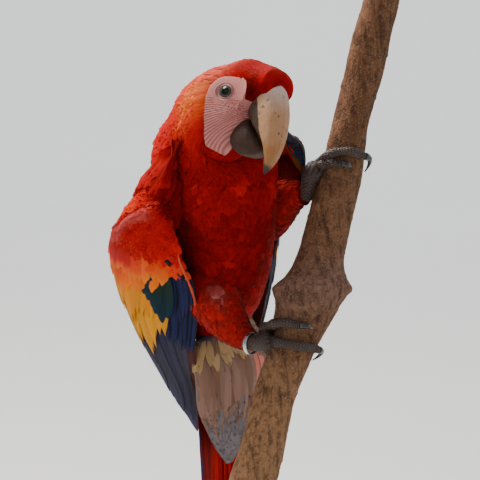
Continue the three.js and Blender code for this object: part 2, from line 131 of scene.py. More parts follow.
# %% Curves through stations
def along(rows, t):
    """At each t from 0 to 1, the Catmull-Rom blend of the four nearest rows of the list."""
    rows = np.asarray(rows, float)
    ends = np.vstack([2 * rows[0] - rows[1], rows, 2 * rows[-1] - rows[-2]])
    at = np.clip(t, 0, 1) * (len(rows) - 1)
    i = np.minimum(at.astype(int), len(rows) - 2)
    f = (at - i)[..., None]
    a, b, c, d = (ends[i + k] for k in range(4))
    return b + 0.5 * f * (c - a + f * (2 * a - 5 * b + 4 * c - d + f * (3 * (b - c) + d - a)))


def straight(rows, t):
    """At each t from 0 to 1, the row of a fine table there, straight between its lines."""
    at = np.clip(t, 0, 1) * (len(rows) - 1)
    i = np.minimum(at.astype(int), len(rows) - 2)
    f = (at - i)[..., None]
    return rows[i] * (1 - f) + rows[i + 1] * f


def bell(x, width):
    """1 at zero, falling smoothly to nothing a few widths away."""
    return np.exp(-((x / width) ** 2))


def ramp(x, start, end):
    """0 before start, 1 after end, and a smooth step between them."""
    f = np.clip((x - start) / (end - start), 0, 1)
    return f * f * (3 - 2 * f)


def mix(a, b, f):
    """a where f is 0, b where f is 1."""
    return a + (b - a) * f


def spaced(count, start, end, *spots):
    """count places from start to end, closer together round each spot of (place, reach, how much closer)."""
    fine = np.linspace(start, end, 3000)
    density = 1 + sum((much * bell(fine - at, reach) for at, reach, much in spots), np.zeros(3000))
    total = np.cumsum(density)
    return np.interp(np.linspace(total[0], total[-1], count), total, fine)


def unit(v):
    """Vectors cut or stretched to length 1."""
    return v / np.maximum(np.linalg.norm(v, axis=-1, keepdims=True), 1e-9)


# %% [markdown]
# ## The body as one surface
# Trunk, neck and head are one tube of oval sections. Each station has a middle, a turn, a half width and two
# depths. The neck's stations lie on a Bezier curve between the top of the trunk and the back of the skull,
# and their turns are shared out between those two. The result is a function body(t, a, h): t runs from the
# tail root to the bill, a round the section with the back at a quarter turn, and h lifts the point off the
# surface.

# %% Stations of the trunk, neck and skull
# Trunk: height up the spine, the middle's distance to the back, half width, depth to the back and to the belly.
TRUNK = np.array([
    (-232, 20, 20, 9, 10),
    (-200, 15, 30, 22, 22),
    (-158, 9, 36, 37, 37),
    (-115, 4, 40, 51, 44),
    (-72, 1, 44.5, 59.5, 46),
    (-35, 0, 47, 70, 45),
    (0, 1, 52, 75, 39),
], float)
# Skull: distance behind the culmen's base, height of the middle, half width, depth to the crown and to the throat.
SKULL = np.array([
    (54, -35, 30, 48, 38),
    (43, -37, 27, 55.5, 35),
    (33, -33, 24, 52, 34),
    (24, -25, 21.3, 42, 22),
    (16, -13, 20.3, 29, 16),
    (8, -5, 19.6, 19.6, 13),
    (2, -2, 18.8, 13.8, 11),
    (-0.5, -1, 13, 7, 8),
], float)
NECK = np.array([(44, 52.5, 41), (38.5, 43, 38)], float)  # half width, depth to the nape, depth to the throat
NECK_PULL, HEAD_PULL = 40, 12  # how far the neck's curve runs straight on from the trunk and from the skull
BODY_POWER = 0.92


def body_table(lines):
    """Fine rows of middle, sizes and the section's two axes, from the tail root to the bill."""
    zero = np.zeros(len(TRUNK))
    skull_turn = HEAD[0] @ turned((90.0, 0, 0), "X")
    trunk = place(BODY, np.stack([zero, TRUNK[:, 1], TRUNK[:, 0]], -1))
    skull = place((skull_turn, HEAD[1]), np.stack([0 * SKULL[:, 0], SKULL[:, 1], -SKULL[:, 0]], -1))
    start, end = trunk[-1], skull[0]
    pulls = start + NECK_PULL * BODY[0][:, 2], end - HEAD_PULL * skull_turn[:, 2]
    f = np.array([[1 / 3], [2 / 3]])
    neck = (1 - f) ** 3 * start + 3 * f * (1 - f) ** 2 * pulls[0] + 3 * f * f * (1 - f) * pulls[1] + f**3 * end
    sizes = np.vstack([TRUNK[:, 2:], NECK, SKULL[:, 2:]])
    rows = np.hstack([np.vstack([trunk, neck, skull]), sizes])
    swing = BODY[0].T @ skull_turn
    angle = math.acos((np.trace(swing) - 1) / 2)
    cross = (swing - swing.T) / (2 * math.sin(angle))
    share = np.interp(np.linspace(0, 16, lines), np.arange(17), [0] * 7 + [1 / 9, 4 / 9] + [1] * 8)
    part = (share * angle)[:, None, None]
    turns = BODY[0] @ (np.eye(3) + np.sin(part) * cross + (1 - np.cos(part)) * (cross @ cross))
    return np.hstack([along(rows, np.linspace(0, 1, lines)), turns[:, :, 0], turns[:, :, 1]])


BODY_ROWS = body_table(1601)
print("body table:", BODY_ROWS.shape)

# %% The surfaces that feathers grow on
def bent(x):
    """An oval's cosine or sine, pressed a little towards a square."""
    return np.sign(x) * np.abs(x) ** BODY_POWER


def body(t, a, h=0.0):
    """The trunk, neck and head: an oval about the middle at t, its radii larger by h."""
    row = straight(BODY_ROWS, np.asarray(t, float))
    x = (row[..., 3] + h) * bent(np.cos(a))
    y = (np.where(np.sin(a) > 0, row[..., 4], row[..., 5]) + h) * bent(np.sin(a))
    return row[..., :3] + x[..., None] * row[..., 6:9] + y[..., None] * row[..., 9:12]


# Wing stations for the left wing, in the body's frame: height, thickness, then side and back of four points
# from the leading edge at the belly, over the flank and the shoulder, to the inner edge on the back.
WING = [
    (18, 6, 60, -12, 65, -2, 61, 16, 56, 28),
    (-10, 23, 66, -25, 78, -2, 76, 25, 62, 44),
    (-36, 26, 64, -32, 84, 4, 85, 40, 46, 57),
    (-68, 24, 60, -35, 86, 8, 88, 50, 30, 61),
    (-107, 18, 54, -34, 83, 12, 85, 56, 20, 58),
    (-150, 12, 49, -27, 78, 14, 79, 52, 16, 53),
    (-205, 10, 43, -15, 66, 15, 68, 44, 13, 47),
    (-265, 6, 34, 3, 49, 20, 51, 39, 13, 42),
    (-325, 4, 25, 19, 33, 27, 33, 37, 14, 41),
    (-362, 2, 19, 28, 21, 31, 22, 34, 15, 37),
]
WING_CARRY = {"left": (8, 6, 20, 0.8), "right": (0, 0, 0, 1)}  # held away, dropped, tucked below, fullness
WING_EDGE = 0.8  # thickness at its two edges


def charted(points, outward):
    """A surface from a table of points: straight between and beyond its lines, and h lifts along the normal."""
    down = np.gradient(points, axis=0)
    across = np.gradient(points, axis=1)
    normals = unit(np.cross(down, across)) * outward
    rows, columns = points.shape[0] - 1, points.shape[1] - 1

    def surface(t, f, h=0.0):
        t, f, h = np.broadcast_arrays(np.asarray(t, float), f, h)
        i = np.clip((t * rows).astype(int), 0, rows - 1)
        j = np.clip((f * columns).astype(int), 0, columns - 1)
        u, v = (t * rows - i)[..., None], (f * columns - j)[..., None]

        def between(table, u, v):
            return mix(mix(table[i, j], table[i + 1, j], u), mix(table[i, j + 1], table[i + 1, j + 1], u), v)

        return between(points, u, v) + between(normals, np.clip(u, 0, 1), np.clip(v, 0, 1)) * h[..., None]

    return surface


HUMP = {"left": 0.35, "right": 1.0}  # how full the wrist is
WING_GIRTH, WING_LENGTH = 151, 380  # mm round the wing at its wrist, and down it
ARCH_WIDE, ARCH_HIGH = 46.0, 60.0
ARCH_ROUND, ARCH_DOWN = 38, 79  # where the oval's middle lies, in mm round the wing and down it


def in_arch(t, f):
    """How far in mm a place lies inside the wrist's arch: a half oval on upright sides that part lower down."""
    across, down = WING_GIRTH * f - ARCH_ROUND, WING_LENGTH * t - ARCH_DOWN
    wide = ARCH_WIDE + 1.2 * np.maximum(down - 10, 0)
    above = np.minimum(down, 0)
    steep = 2 * np.hypot(across / wide**2, above / ARCH_HIGH**2) + 1e-6
    return np.clip((1 - (across / wide) ** 2 - (above / ARCH_HIGH) ** 2) / steep, -30, 30)


def hump(t, f):
    """The wrist's hump in mm: a round rise inside its arch, a hollow outside, both gone further down the wing."""
    within = in_arch(t, f)
    front = 5.0 * ramp(within, 0, -10) * ramp(f, 0.3, 0.05)
    rise = 6.0 * ramp(within, -1.5, 10) * ramp(f, 0.70, 0.52)
    hollow = np.maximum(3.5 * ramp(within, 1.5, -3), 2.5 * ramp(f, 0.52, 0.66))
    return (rise - hollow) * ramp(t, 0.42, 0.22) - front


def wing_face(side):
    """A folded wing's outer face: t from the wrist to the tip, f from the leading edge round to the back."""
    away, drop, tuck, _ = WING_CARRY[side]
    t = np.linspace(0, 1, 181)
    row = along(WING, t)
    tucked = (tuck * bell(t - 0.45, 0.3))[:, None] * (1 - np.arange(4) / 3)
    spread = (away * bell(t - 0.18, 0.14))[:, None]
    corners = np.stack([row[:, 2::2] + spread - tucked / 2, row[:, 3::2] + tucked], -1)
    f = np.linspace(0, 1, 61)
    flat = along(corners.transpose(1, 0, 2).reshape(4, -1), f).reshape(61, 181, 2).transpose(1, 0, 2)
    up = (row[:, 0] - drop * (1 - t) ** 3)[:, None] + 8 * (0.5 - f)[None, :]
    points = np.concatenate([flat, up[..., None]], -1) * mirrored(side)
    outer = 1 if side == "left" else -1
    plain = charted(place(BODY, points), outer)
    t, f = np.meshgrid(t, f, indexing="ij")
    return charted(plain(t, f, HUMP[side] * hump(t, f)), outer)


WINGS = {side: wing_face(side) for side in ("left", "right")}
for side in WINGS:
    lifted = local(BODY, WINGS[side](0.3, 0.5, 10)) - local(BODY, WINGS[side](0.3, 0.5))
    print(side, "wing, lifted by 10 mm in the body's frame:", lifted.round(1))

# %% [markdown]
# ## Making pieces
# A surface on a grid becomes a mesh in one step: the points as one array, the faces as another. Every new
# piece gets a map for its pattern, numbers for its material as named attributes, and rides on the one body
# there is.


# %% From arrays to pieces
def grid_faces(rows, columns, around=False):
    """Four corners of each face of a grid, in order; around joins its last column to its first."""
    cells = columns if around else columns - 1
    i, j = np.meshgrid(np.arange(rows - 1), np.arange(cells), indexing="ij")
    a, b = i * columns + j, i * columns + (j + 1) % columns
    return np.stack([a, b, b + columns, a + columns], -1).reshape(-1, 4)


def tube_grid(rows, columns, start=0.0, end=1.0, first=0.0, whole=2 * math.pi):
    """Where a tube's points lie: t from start to end, row by row, and a once round without its end."""
    t, a = np.linspace(start, end, rows), np.linspace(first, first + whole, columns + 1)[:-1]
    return np.meshgrid(t, a, indexing="ij")


def ladder(ring, flip):
    """Faces that close a ring of an even number of points, from its one half to its other."""
    n = len(ring)
    k = np.arange(n // 2 - 1)
    cap = ring[np.stack([k, k + 1, n - 2 - k, n - 1 - k], -1)]
    return cap[:, ::-1] if flip else cap


def outward(points, faces):
    """The faces of a closed shape, turned round if they point inwards, told by the sign of its volume."""
    a, b, c, d = (points[faces[:, k]] for k in range(4))
    volume = np.einsum("ij,ij->", a, np.cross(b, c)) + np.einsum("ij,ij->", a, np.cross(c, d))
    return faces if volume > 0 else faces[:, ::-1]


def closed(points):
    """Faces of a tube given as rings (rows, around, 3), with both its ends shut."""
    rows, n = points.shape[:2]
    first, last = np.arange(n), np.arange(n) + (rows - 1) * n
    faces = np.vstack([grid_faces(rows, n, True), ladder(first, True), ladder(last, False)])
    return outward(points.reshape(-1, 3), faces)


def piece(name, points, faces, slot, uv=None, bake=None, **numbers):
    """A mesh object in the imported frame, from posed millimetres, with a value of each number at each point."""
    mesh = bpy.data.meshes.new(name)
    flat = world(points.reshape(-1, 3)).astype(np.float32)
    mesh.vertices.add(len(flat))
    mesh.vertices.foreach_set("co", flat.ravel())
    mesh.loops.add(faces.size)
    mesh.loops.foreach_set("vertex_index", faces.ravel().astype(np.int32))
    mesh.polygons.add(len(faces))
    mesh.polygons.foreach_set("loop_start", np.arange(0, faces.size, faces.shape[1], dtype=np.int32))
    mesh.update(calc_edges=True)
    mesh.shade_smooth()
    for label, places in (("UVMap", uv), ("OFBake", bake)):
        if places is not None:
            layer = mesh.uv_layers.new(name=label)
            layer.uv.foreach_set("vector", places.reshape(-1, 2)[faces.ravel()].astype(np.float32).ravel())
    for label, values in numbers.items():
        layer = mesh.attributes.new(label, "FLOAT", "POINT")
        layer.data.foreach_set("value", np.broadcast_to(values, points.shape[:-1]).astype(np.float32).ravel())
    made = bpy.data.objects.new(name, mesh)
    bpy.context.scene.collection.objects.link(made)
    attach(made, "root")
    print(f"{name}: {len(flat)} points, {len(faces) * (faces.shape[1] - 2)} triangles")
    return made


def waves(points, size, seed):
    """Soft bumps from -1 to 1: sines of size mm in chance directions, half as long and high each octave."""
    chance = np.random.default_rng(seed)
    total = 0
    for octave in range(3):
        for _ in range(5):
            way = unit(chance.normal(size=3)) * 2 * math.pi * 2**octave / (size * chance.uniform(0.8, 1.3))
            total = total + np.sin(points @ way + chance.uniform(0, 7)) * 0.45 / 2**octave / math.sqrt(5)
    return np.clip(total, -1, 1)


# %% [markdown]
# ## Markings
# Skin and feathers carry the same markings, so both ask one function. It answers with a dye, a number along
# one scale of colours from maroon over scarlet, orange, yellow, green and blue to slate, and with how far the
# dye is washed out. Both also carry some painted shade and painted highlights. The bare face is an outline in
# the head's own side view.

# %% Where the face is bare, and the body's dyes
FACE = np.array([
    (55, -12), (51, -4.5), (44.8, -1.6), (36.7, -0.6), (28.2, 0.2), (23.0, -2.0), (19.4, -7.5), (17.8, -13.5),
    (17, -19), (12, -19.5), (6, -30), (4, -58), (14, -68), (23, -71), (36, -70), (49.8, -66), (49.8, -57),
    (49.6, -50.6), (52, -39.3), (54.4, -27.3), (55.8, -18.4),
], float)  # behind and above the culmen's base


def depth_in(outline, x, y):
    """How far (x, y) lies inside a closed outline in mm, less than 0 outside it."""
    p = np.stack([x, y], -1)[..., None, :]
    a, b = outline, np.roll(outline, -1, 0)
    edge, to = b - a, p - a
    f = np.clip((to * edge).sum(-1) / (edge * edge).sum(-1), 0, 1)
    near = np.linalg.norm(to - f[..., None] * edge, axis=-1).min(-1)
    crosses = (a[:, 1] > p[..., 1]) != (b[:, 1] > p[..., 1])
    at = a[:, 0] + (p[..., 1] - a[:, 1]) * edge[:, 0] / np.where(edge[:, 1] == 0, 1e-9, edge[:, 1])
    return np.where((crosses & (p[..., 0] < at)).sum(-1) % 2 == 1, near, -near)


def face_depth(points):
    """How far inside the bare face a posed point lies, in mm. The throat between its sides is feathered, and on the
    left side, where the neck is turned, the feathers reach further up."""
    head = local(HEAD, points)
    depth = depth_in(FACE, head[..., 1], head[..., 2])
    side = np.abs(head[..., 0])
    low = head[..., 2] + np.where(head[..., 0] > 0, 57, 99)
    throat = side - 5 + 30 * ramp(head[..., 2], -44, -30)
    return np.minimum.reduce([depth, throat, 34 - side, low])


def body_marks_and_painted_light(t, a, points):
    """Dye and wash of the body: scarlet head, orange sides of the nape, red breast, light blue rump.
    Painted shade darkens the belly and the lore beside the bill. A painted highlight washes the crown and the nape
    paler.
    """
    back = ramp(np.sin(a), 0.1, 0.5)
    belly = ramp(-np.sin(a), -0.15, 0.35)
    head = local(HEAD, points)
    dye = 0.23 + 0.02 * waves(points, 30, 3)
    cheek = bell(head[..., 1] - 62, 17) * bell(head[..., 2] + 28, 26) * ramp(np.abs(head[..., 0]), 12, 26)
    nape = ramp(t, 0.5, 0.6) * ramp(head[..., 1], 30, 52) * back
    dye = dye + 0.15 * cheek + 0.12 * nape * (0.7 + 0.3 * waves(points, 12, 4))
    breast = ramp(t, 0.66, 0.5)
    # painted shade: darker on the belly side, and darker still on the breast
    dye = dye - 0.02 * belly * breast - 0.035 * belly
    dye = dye + belly * breast * (0.06 * ramp(waves(points, 26, 5), 0.45, 0.8) + 0.01 * waves(points, 60, 6))
    # painted shade: the lore beside the bill, darkened
    lore_shade = 0.13 * bell(head[..., 1] - 13, 9) * bell(head[..., 2] + 7, 11) * ramp(np.abs(head[..., 0]), 6, 15)
    dye = dye - lore_shade
    # painted highlights: the washes on the nape and on the top of the crown
    wash = 0.03 * cheek + 0.10 * nape + 0.035 * ramp(head[..., 2], 0, 10) * ramp(t, 0.6, 0.66)
    rump = ramp(t, 0.3, 0.2) * ramp(np.sin(a), 0.25, 0.6)
    return mix(dye, 0.0, rump), mix(wash, 0.36, rump)


print("the eye lies", depth_in(FACE, EYE_AT[1], EYE_AT[2]).round(1), "mm inside the bare face")

# %% [markdown]
# ## The skin
# One closed surface carries the whole body under its feathers and shows at the bare face. Its lines run
# closer together at the face, so that the lids and the folds by the gape are real shape. Over the eyeball the
# skin dips under the ball, comes out as the lid's edge and goes back to the cheek in two or three rings. The
# thighs and arms are joined to it.

# %% Body skin with lids and folds
GAPE = (19.0, -31.0)  # behind and above the culmen's base
LID_FORWARD, LID_LONG = 0.9, 1.1
FAN_AT, FAN_LINES = (6.0, -20.0), 131  # where rows of tiny feathers spread from, and how many a whole turn has
AT_EYES = [(math.radians(angle), 0.14, 3.5) for angle in (20.7, 159.3)]
t_lines = np.concatenate([np.linspace(0, 0.5, 70)[:-1], spaced(170, 0.5, 1, (0.652, 0.05, 3.5), (0.72, 0.1, 1.2))])
a_lines = spaced(361, -math.pi / 2, 1.5 * math.pi, *AT_EYES)[:-1]
T, A = np.meshgrid(t_lines, a_lines, indexing="ij")
surface = body(T, A)
bare = face_depth(surface)
feathers = mix(mix(5.0, 2.2, ramp(T, 0.42, 0.62)), 0.7, ramp(T, 0.72, 0.95))  # how thick the coat is
feathers = feathers * ramp(bare, 1.2, -0.4) + 0.35 * ramp(bare, -0.6, 1.5)
skin_points = body(T, A, -feathers)
head = local(HEAD, skin_points)
from_eye = head[..., 1] - EYE_AT[1], head[..., 2] - EYE_AT[2]
eye_reach = np.hypot((from_eye[0] + LID_FORWARD) / LID_LONG, from_eye[1])  # the lids open longer than high
ball = EYE_AT[0] + np.sqrt(np.maximum(EYE_RADIUS**2 - from_eye[0] ** 2 - from_eye[1] ** 2, 0))
lid = -1.6 + 2.5 * ramp(eye_reach, EYE_SHOWS - 0.9, EYE_SHOWS + 0.15)
rings = 0.42 * np.cos((eye_reach - EYE_SHOWS - 0.5) * 2 * math.pi / 2.1) * bell(eye_reach - EYE_SHOWS, 4.2)
socket = mix(ball + lid, np.abs(head[..., 0]) + rings, ramp(eye_reach, EYE_SHOWS + 0.2, EYE_SHOWS + 2.4))
near_eye = (eye_reach < EYE_SHOWS + 9) & (head[..., 1] > 25)
head[..., 0] = np.where(near_eye, np.sign(head[..., 0]) * socket, head[..., 0])
turn = np.arctan2(-(head[..., 2] - GAPE[1]), head[..., 1] - GAPE[0])  # 0 straight behind the gape, then down
reach = np.hypot(head[..., 1] - GAPE[0], head[..., 2] - GAPE[1])
fold = bell(turn - 1.22, 0.07) + 0.7 * bell(turn - 1.04, 0.055) + 0.45 * bell(turn - 0.88, 0.05)
fold = fold * ramp(reach, 2, 9) * ramp(reach, 42, 26) * ramp(bare, 0, 2)
fan = np.arctan2(-(head[..., 2] - FAN_AT[1]), head[..., 1] - FAN_AT[0])
fan_reach = np.hypot(head[..., 1] - FAN_AT[0], head[..., 2] - FAN_AT[1])
head[..., 0] += np.sign(head[..., 0]) * 0.9 * fold
skin_points = place(HEAD, head)
dye, wash = body_marks_and_painted_light(T, A, surface)
print("skin rings:", len(t_lines), "points round each:", len(a_lines))

# %% Tubes along a path, for legs, toes and claws
def limb(rows, lines=160):
    """A round limb through rows of side, away, up and radius: t runs along it, a round it, and h out of it."""
    t = np.linspace(0, 1, lines)
    table = along(rows, t)
    way = unit(along(rows, np.minimum(t + 0.01, 1))[:, :3] - along(rows, np.maximum(t - 0.01, 0))[:, :3])
    side = unit(np.cross((0.0, 1.0, 0.0), way))
    table = np.hstack([table, side, np.cross(way, side)])

    def surface(t, a, h=0.0):
        row = straight(table, np.asarray(t, float))
        reach = (row[..., 3] + h)[..., None]
        out = np.cos(a)[..., None] * row[..., 4:7] + np.sin(a)[..., None] * row[..., 7:10]
        return row[..., :3] + reach * out

    return surface


THIGHS = {
    "right": [(-26, 76, -22, 18), (-28, 60, -40, 24), (-18, 46, -62, 22), (-4, 34, -80, 15), (9, 26, -90, 8.5)],
    "left": [(8, 84, 4, 18), (20, 70, 18, 23), (34, 54, 33, 21), (48, 40, 40, 14), (58, 32, 40, 8)],
}
thighs = {side: limb(rows) for side, rows in THIGHS.items()}


def thickness(side, t, f):
    """A folded wing's thickness over a grid of (t, f): thin at its two edges and full between them."""
    thick = along(WING, t[:, 0])[:, 1:2] * WING_CARRY[side][3]
    return WING_EDGE + (thick - WING_EDGE) * np.sin(math.pi * f) ** 0.7


def slab(side, start, end, inset, rows, columns):
    """A folded wing's body: the outer face sunk by the inset, and the inner face at the thickness less that."""
    t, f = np.meshgrid(np.linspace(start, end, rows), np.linspace(0.03, 0.97, columns), indexing="ij")
    depth = np.maximum(thickness(side, t, f) - inset, inset + 0.5)
    return np.concatenate([WINGS[side](t, f, -inset), WINGS[side](t, f, -depth)[:, ::-1]], 1)


WING_SPLIT = 0.4  # where the fleshy arm ends and there are only flight feathers
MARKS = dict(dye=dye, wash=wash, bare=bare, fan=fan, fan_reach=fan_reach, eye_reach=eye_reach)
FAR = dict(dye=0.17, wash=0.0, bare=-9.0, fan=0.0, fan_reach=99.0, eye_reach=99.0)  # for limbs


def spot_keys(mesh):
    """One whole number for each point's place, in micrometres, to find the same point in another mesh."""
    flat = np.empty(3 * len(mesh.vertices), np.float32)
    mesh.vertices.foreach_get("co", flat)
    return np.rint(flat.reshape(-1, 3).astype(float) * 1e6).astype(np.int64) @ np.array([1, 2**21, 2**42])


def joined_skin():
    """The body's skin with the thighs and the folded arms united to it, as one closed mesh."""
    skin = piece("skin", skin_points, closed(skin_points), "red_plumage")
    first = spot_keys(skin.data)
    t, a = tube_grid(40, 64)
    extras = [thigh(t, a, -4.0 * ramp(t, 1, 0.75) - 0.5) for thigh in thighs.values()]
    extras += [slab(side, 0.01, WING_SPLIT + 0.03, 1.6, 40, 40) for side in WINGS]
    for points in extras:
        extra = piece("limb", points, closed(points), "red_plumage")
        union = skin.modifiers.new("union", "BOOLEAN")
        union.operation, union.object, union.solver = "UNION", extra, "EXACT"
        bpy.context.view_layer.update()
        whole = bpy.data.meshes.new_from_object(skin.evaluated_get(bpy.context.evaluated_depsgraph_get()))
        skin.modifiers.clear()
        skin.data = whole
        bpy.data.objects.remove(extra)
    whole.name = "skin"
    whole.shade_smooth()
    order = np.argsort(first)
    now = spot_keys(whole)
    at = order[np.minimum(np.searchsorted(first[order], now), len(first) - 1)]
    for label, values in MARKS.items():
        layer = whole.attributes.new(label, "FLOAT", "POINT")
        kept = np.where(first[at] == now, values.ravel()[at], FAR[label])
        layer.data.foreach_set("value", kept.astype(np.float32))
    print("points that came from the limbs:", int((first[at] != now).sum()))
    return skin


skin = joined_skin()
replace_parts(skin, "trunk", "neck", "head", "thigh_left", "thigh_right", "wing_left", "wing_right")
print("skin:", len(skin.data.vertices), "points,", len(skin.data.polygons), "faces")

# %% [markdown]
# ## Feathers
# Each feather is a small grid bent over the surface it grows on. It starts sunk in the coat and comes up
# towards its tip, so that the tips of one row cover the roots of the next. Its width swells and tapers, its
# middle is arched, and its last points are uneven, as barbs part there. All feathers of a piece are worked
# out together, as one array of points.


# %% Vanes laid on a surface
def profile(s, taper, shoulder):
    """A vane's width at s of its length: narrow at the root, full before the shoulder, tapered at the tip."""
    swell = 0.4 + 0.6 * np.sin(np.minimum(s / 0.45, 1) * math.pi / 2)
    return swell * (1 - taper * np.clip((s - shoulder) / (1 - shoulder), 0, 1) ** 2)


STEP = 1e-3  # of t and a, for slopes


def pitch(surface, t, a):
    """Millimetres that one unit of t, and one of a, is worth on the surface at each place."""
    t = np.minimum(t, 1 - 2 * STEP)
    down = np.linalg.norm(surface(t + STEP, a) - surface(t - STEP, a), axis=-1) / (2 * STEP)
    across = np.linalg.norm(surface(t, a + STEP) - surface(t, a - STEP), axis=-1) / (2 * STEP)
    return np.maximum(down, 1), np.maximum(across, 1)


def vanes(surface, t, a, half, length=None, tip=None, rows=5, columns=4, way=1, drift=0.0, sink=2.0, rise=0.5,
          lift=0.0, tilt=0.0, arch=0.2, bow=0.0, ragged=0.06, taper=0.45, shoulder=0.55, rounded=0.7, seed=1,
          chart=None):
    """Points (feather, row, column, 3) of vanes from roots (t, a) to a tip, or that way for a length.

    Heights add up the root's sink, the tip's rise, an arch across, and a tilt that lays one edge over a
    neighbour. Where the surface is bent too tightly to measure on, chart is a smoother one with the same t and a.
    """
    chance = np.random.default_rng(seed)
    chart = chart or surface
    down, across = pitch(chart, t, a)
    if tip is None:
        tip = t + way * np.cos(drift) * length / down, a + np.sin(drift) * length / across
    if length is None:
        length = np.linalg.norm(surface(*tip) - surface(t, a), axis=-1)
    t, a, tip_t, tip_a, length, half, sink, rise, lift, tilt, bow = (
        np.broadcast_to(np.asarray(v, float), np.shape(t))[:, None, None]
        for v in (t, a, *tip, length, half, sink, rise, lift, tilt, bow)
    )
    s = np.linspace(0, 1, rows + 1)[None, :, None]
    c = np.linspace(-1, 1, columns + 1)[None, None, :]
    on = s - rounded * half / length * c * c * s**4
    on = on - ragged * chance.random((len(t), 1, columns + 1)) * (s > 0.99)
    across = pitch(chart, mix(t, tip_t, s), mix(a, tip_a, s))[1]
    over = c * profile(s, taper, shoulder) * half + bow * length * on * (1 - on)
    h = lift - sink * (1 - s) ** 1.3 + rise * s - arch * half * c * c * (0.4 + 0.6 * s) + tilt * c
    h = h + chance.normal(0, 0.07, (len(t), 1, 1)) * np.minimum(half, 4) * s
    points = surface(mix(t, tip_t, on), mix(a, tip_a, on) + over / across, h)
    return points, s + 0 * c + 0 * t, c + 0 * s + 0 * t


def coat_faces(surface, points, t, a):
    """Faces of all the vanes of a piece, turned so that they face away from the surface."""
    count, rows, columns = points.shape[:3]
    cell = grid_faces(rows, columns)
    k = count // 2
    p = points[k].reshape(-1, 3)[cell[len(cell) // 2]]
    normal = np.cross(p[1] - p[0], p[3] - p[0])
    out = surface(t[k : k + 1], a[k : k + 1], 5.0) - surface(t[k : k + 1], a[k : k + 1], 0.0)
    if (normal * out).sum() < 0:
        cell = cell[:, ::-1]
    return (cell[None] + (np.arange(count) * rows * columns)[:, None, None]).reshape(-1, 4)


def home_on_wing(t, f):
    """Each wing feather's place on the unwrapped skin."""
    return np.stack([0.25 + 0.5 * np.clip(f, 0, 1), np.clip(t, 0, 1)], -1)


def coat(name, slot, surface, t, a, home, dye, wash=0.0, seed=1, **how):
    """A piece of feathers; home is each root's place on the unwrapped skin, kept as the OFBake map."""
    points, s, c = vanes(surface, t, a, seed=seed, **how)
    faces = coat_faces(surface, points, t, a)
    uv = np.stack([0.5 + 0.5 * c, s], -1)
    spot = np.stack([0.5 * c, s], -1) * 0.003
    bake = np.asarray(home)[:, None, None, :] * 0.985 + 0.006 + spot
    tone = np.random.default_rng(seed + 50).random(len(t))[:, None, None] + 0 * s
    dye = dye(s, c) if callable(dye) else np.asarray(dye)[:, None, None] + 0 * s
    wash = np.broadcast_to(wash, len(t))[:, None, None] + 0 * s
    return piece(name, points, faces, slot, uv, bake, dye=dye, wash=wash, tone=tone)


# %% [markdown]
# ## Wiring materials
# A material is a graph of nodes. What a node puts out is kept here as a signal, and sums of signals are
# written as sums: each + - * or ** adds one Math node. Short helpers add a mix, a smooth step and a scale of
# colours. Effects that several finishes share, the barbs of a feather and patchy colour, are node groups,
# each built once and then placed with its own values.


# %% Signals, and helpers for node trees
TREES = []  # the helpers add their nodes to the last tree here


class Signal:
    """What a node puts out. A sum with a number or another signal adds the Math node that works it out."""

    def __init__(self, made, output=0):
        self.socket = made.outputs[output]

    def __add__(self, other):
        return calc("ADD", self, other)

    def __sub__(self, other):
        return calc("SUBTRACT", self, other)

    def __rsub__(self, other):
        return calc("SUBTRACT", other, self)

    def __mul__(self, other):
        return calc("MULTIPLY", self, other)

    def __pow__(self, other):
        return calc("POWER", self, other)


def connect(made, sockets):
    """Sets each named socket of a node to a value, or links a signal to it."""
    for key, value in dict(sockets).items():
        if isinstance(value, Signal):
            TREES[-1].links.new(value.socket, made.inputs[key])
        else:
            made.inputs[key].default_value = value
    return made


def node(kind, sockets=(), **settings):
    """A new shader node with its settings and sockets."""
    made = TREES[-1].nodes.new("ShaderNode" + kind)
    for key, value in settings.items():
        setattr(made, key, value)
    return connect(made, sockets)


def calc(operation, *values):
    """The result of a math node, such as MULTIPLY, with its values."""
    return Signal(node("Math", enumerate(values), operation=operation))


def tint(factor, a, b, blend="MIX"):
    """Colour a where the factor is 0 and b where it is 1."""
    a, b = (v if isinstance(v, Signal) else (*v, 1.0) for v in (a, b))
    return Signal(node("Mix", {0: factor, 6: a, 7: b}, data_type="RGBA", blend_type=blend), 2)


def stepped(value, start, end, low=0.0, high=1.0):
    """A smooth step from low to high as the value goes from start to end."""
    return Signal(node("MapRange", enumerate((value, start, end, low, high)), interpolation_type="SMOOTHSTEP"))


def scale(value, stops):
    """A colour from a scale of (place, colour) stops."""
    made = node("ValToRGB", {0: value})
    marks = made.color_ramp.elements
    (marks[0].position, first), (marks[1].position, last) = stops[0], stops[-1]
    marks[0].color, marks[1].color = (*first, 1), (*last, 1)
    for at, colour in stops[1:-1]:
        marks.new(at).color = (*colour, 1)
    return Signal(made)


def number(name):
    """The value of one of the piece's own attributes."""
    return Signal(node("Attribute", attribute_name=name), "Fac")


def own_map():
    """The piece's own map, made for its pattern."""
    return Signal(node("UVMap", uv_map="UVMap"))


def position(*stretch):
    """Object coordinates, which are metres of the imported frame, or those times a factor for each axis."""
    where = Signal(node("TexCoord"), "Object")
    return Signal(node("Mapping", {"Vector": where, "Scale": stretch})) if stretch else where


def bump(height, depth):
    """A normal bent by a height, whose full range is depth in metres."""
    return Signal(node("Bump", {"Height": height, "Distance": depth}))


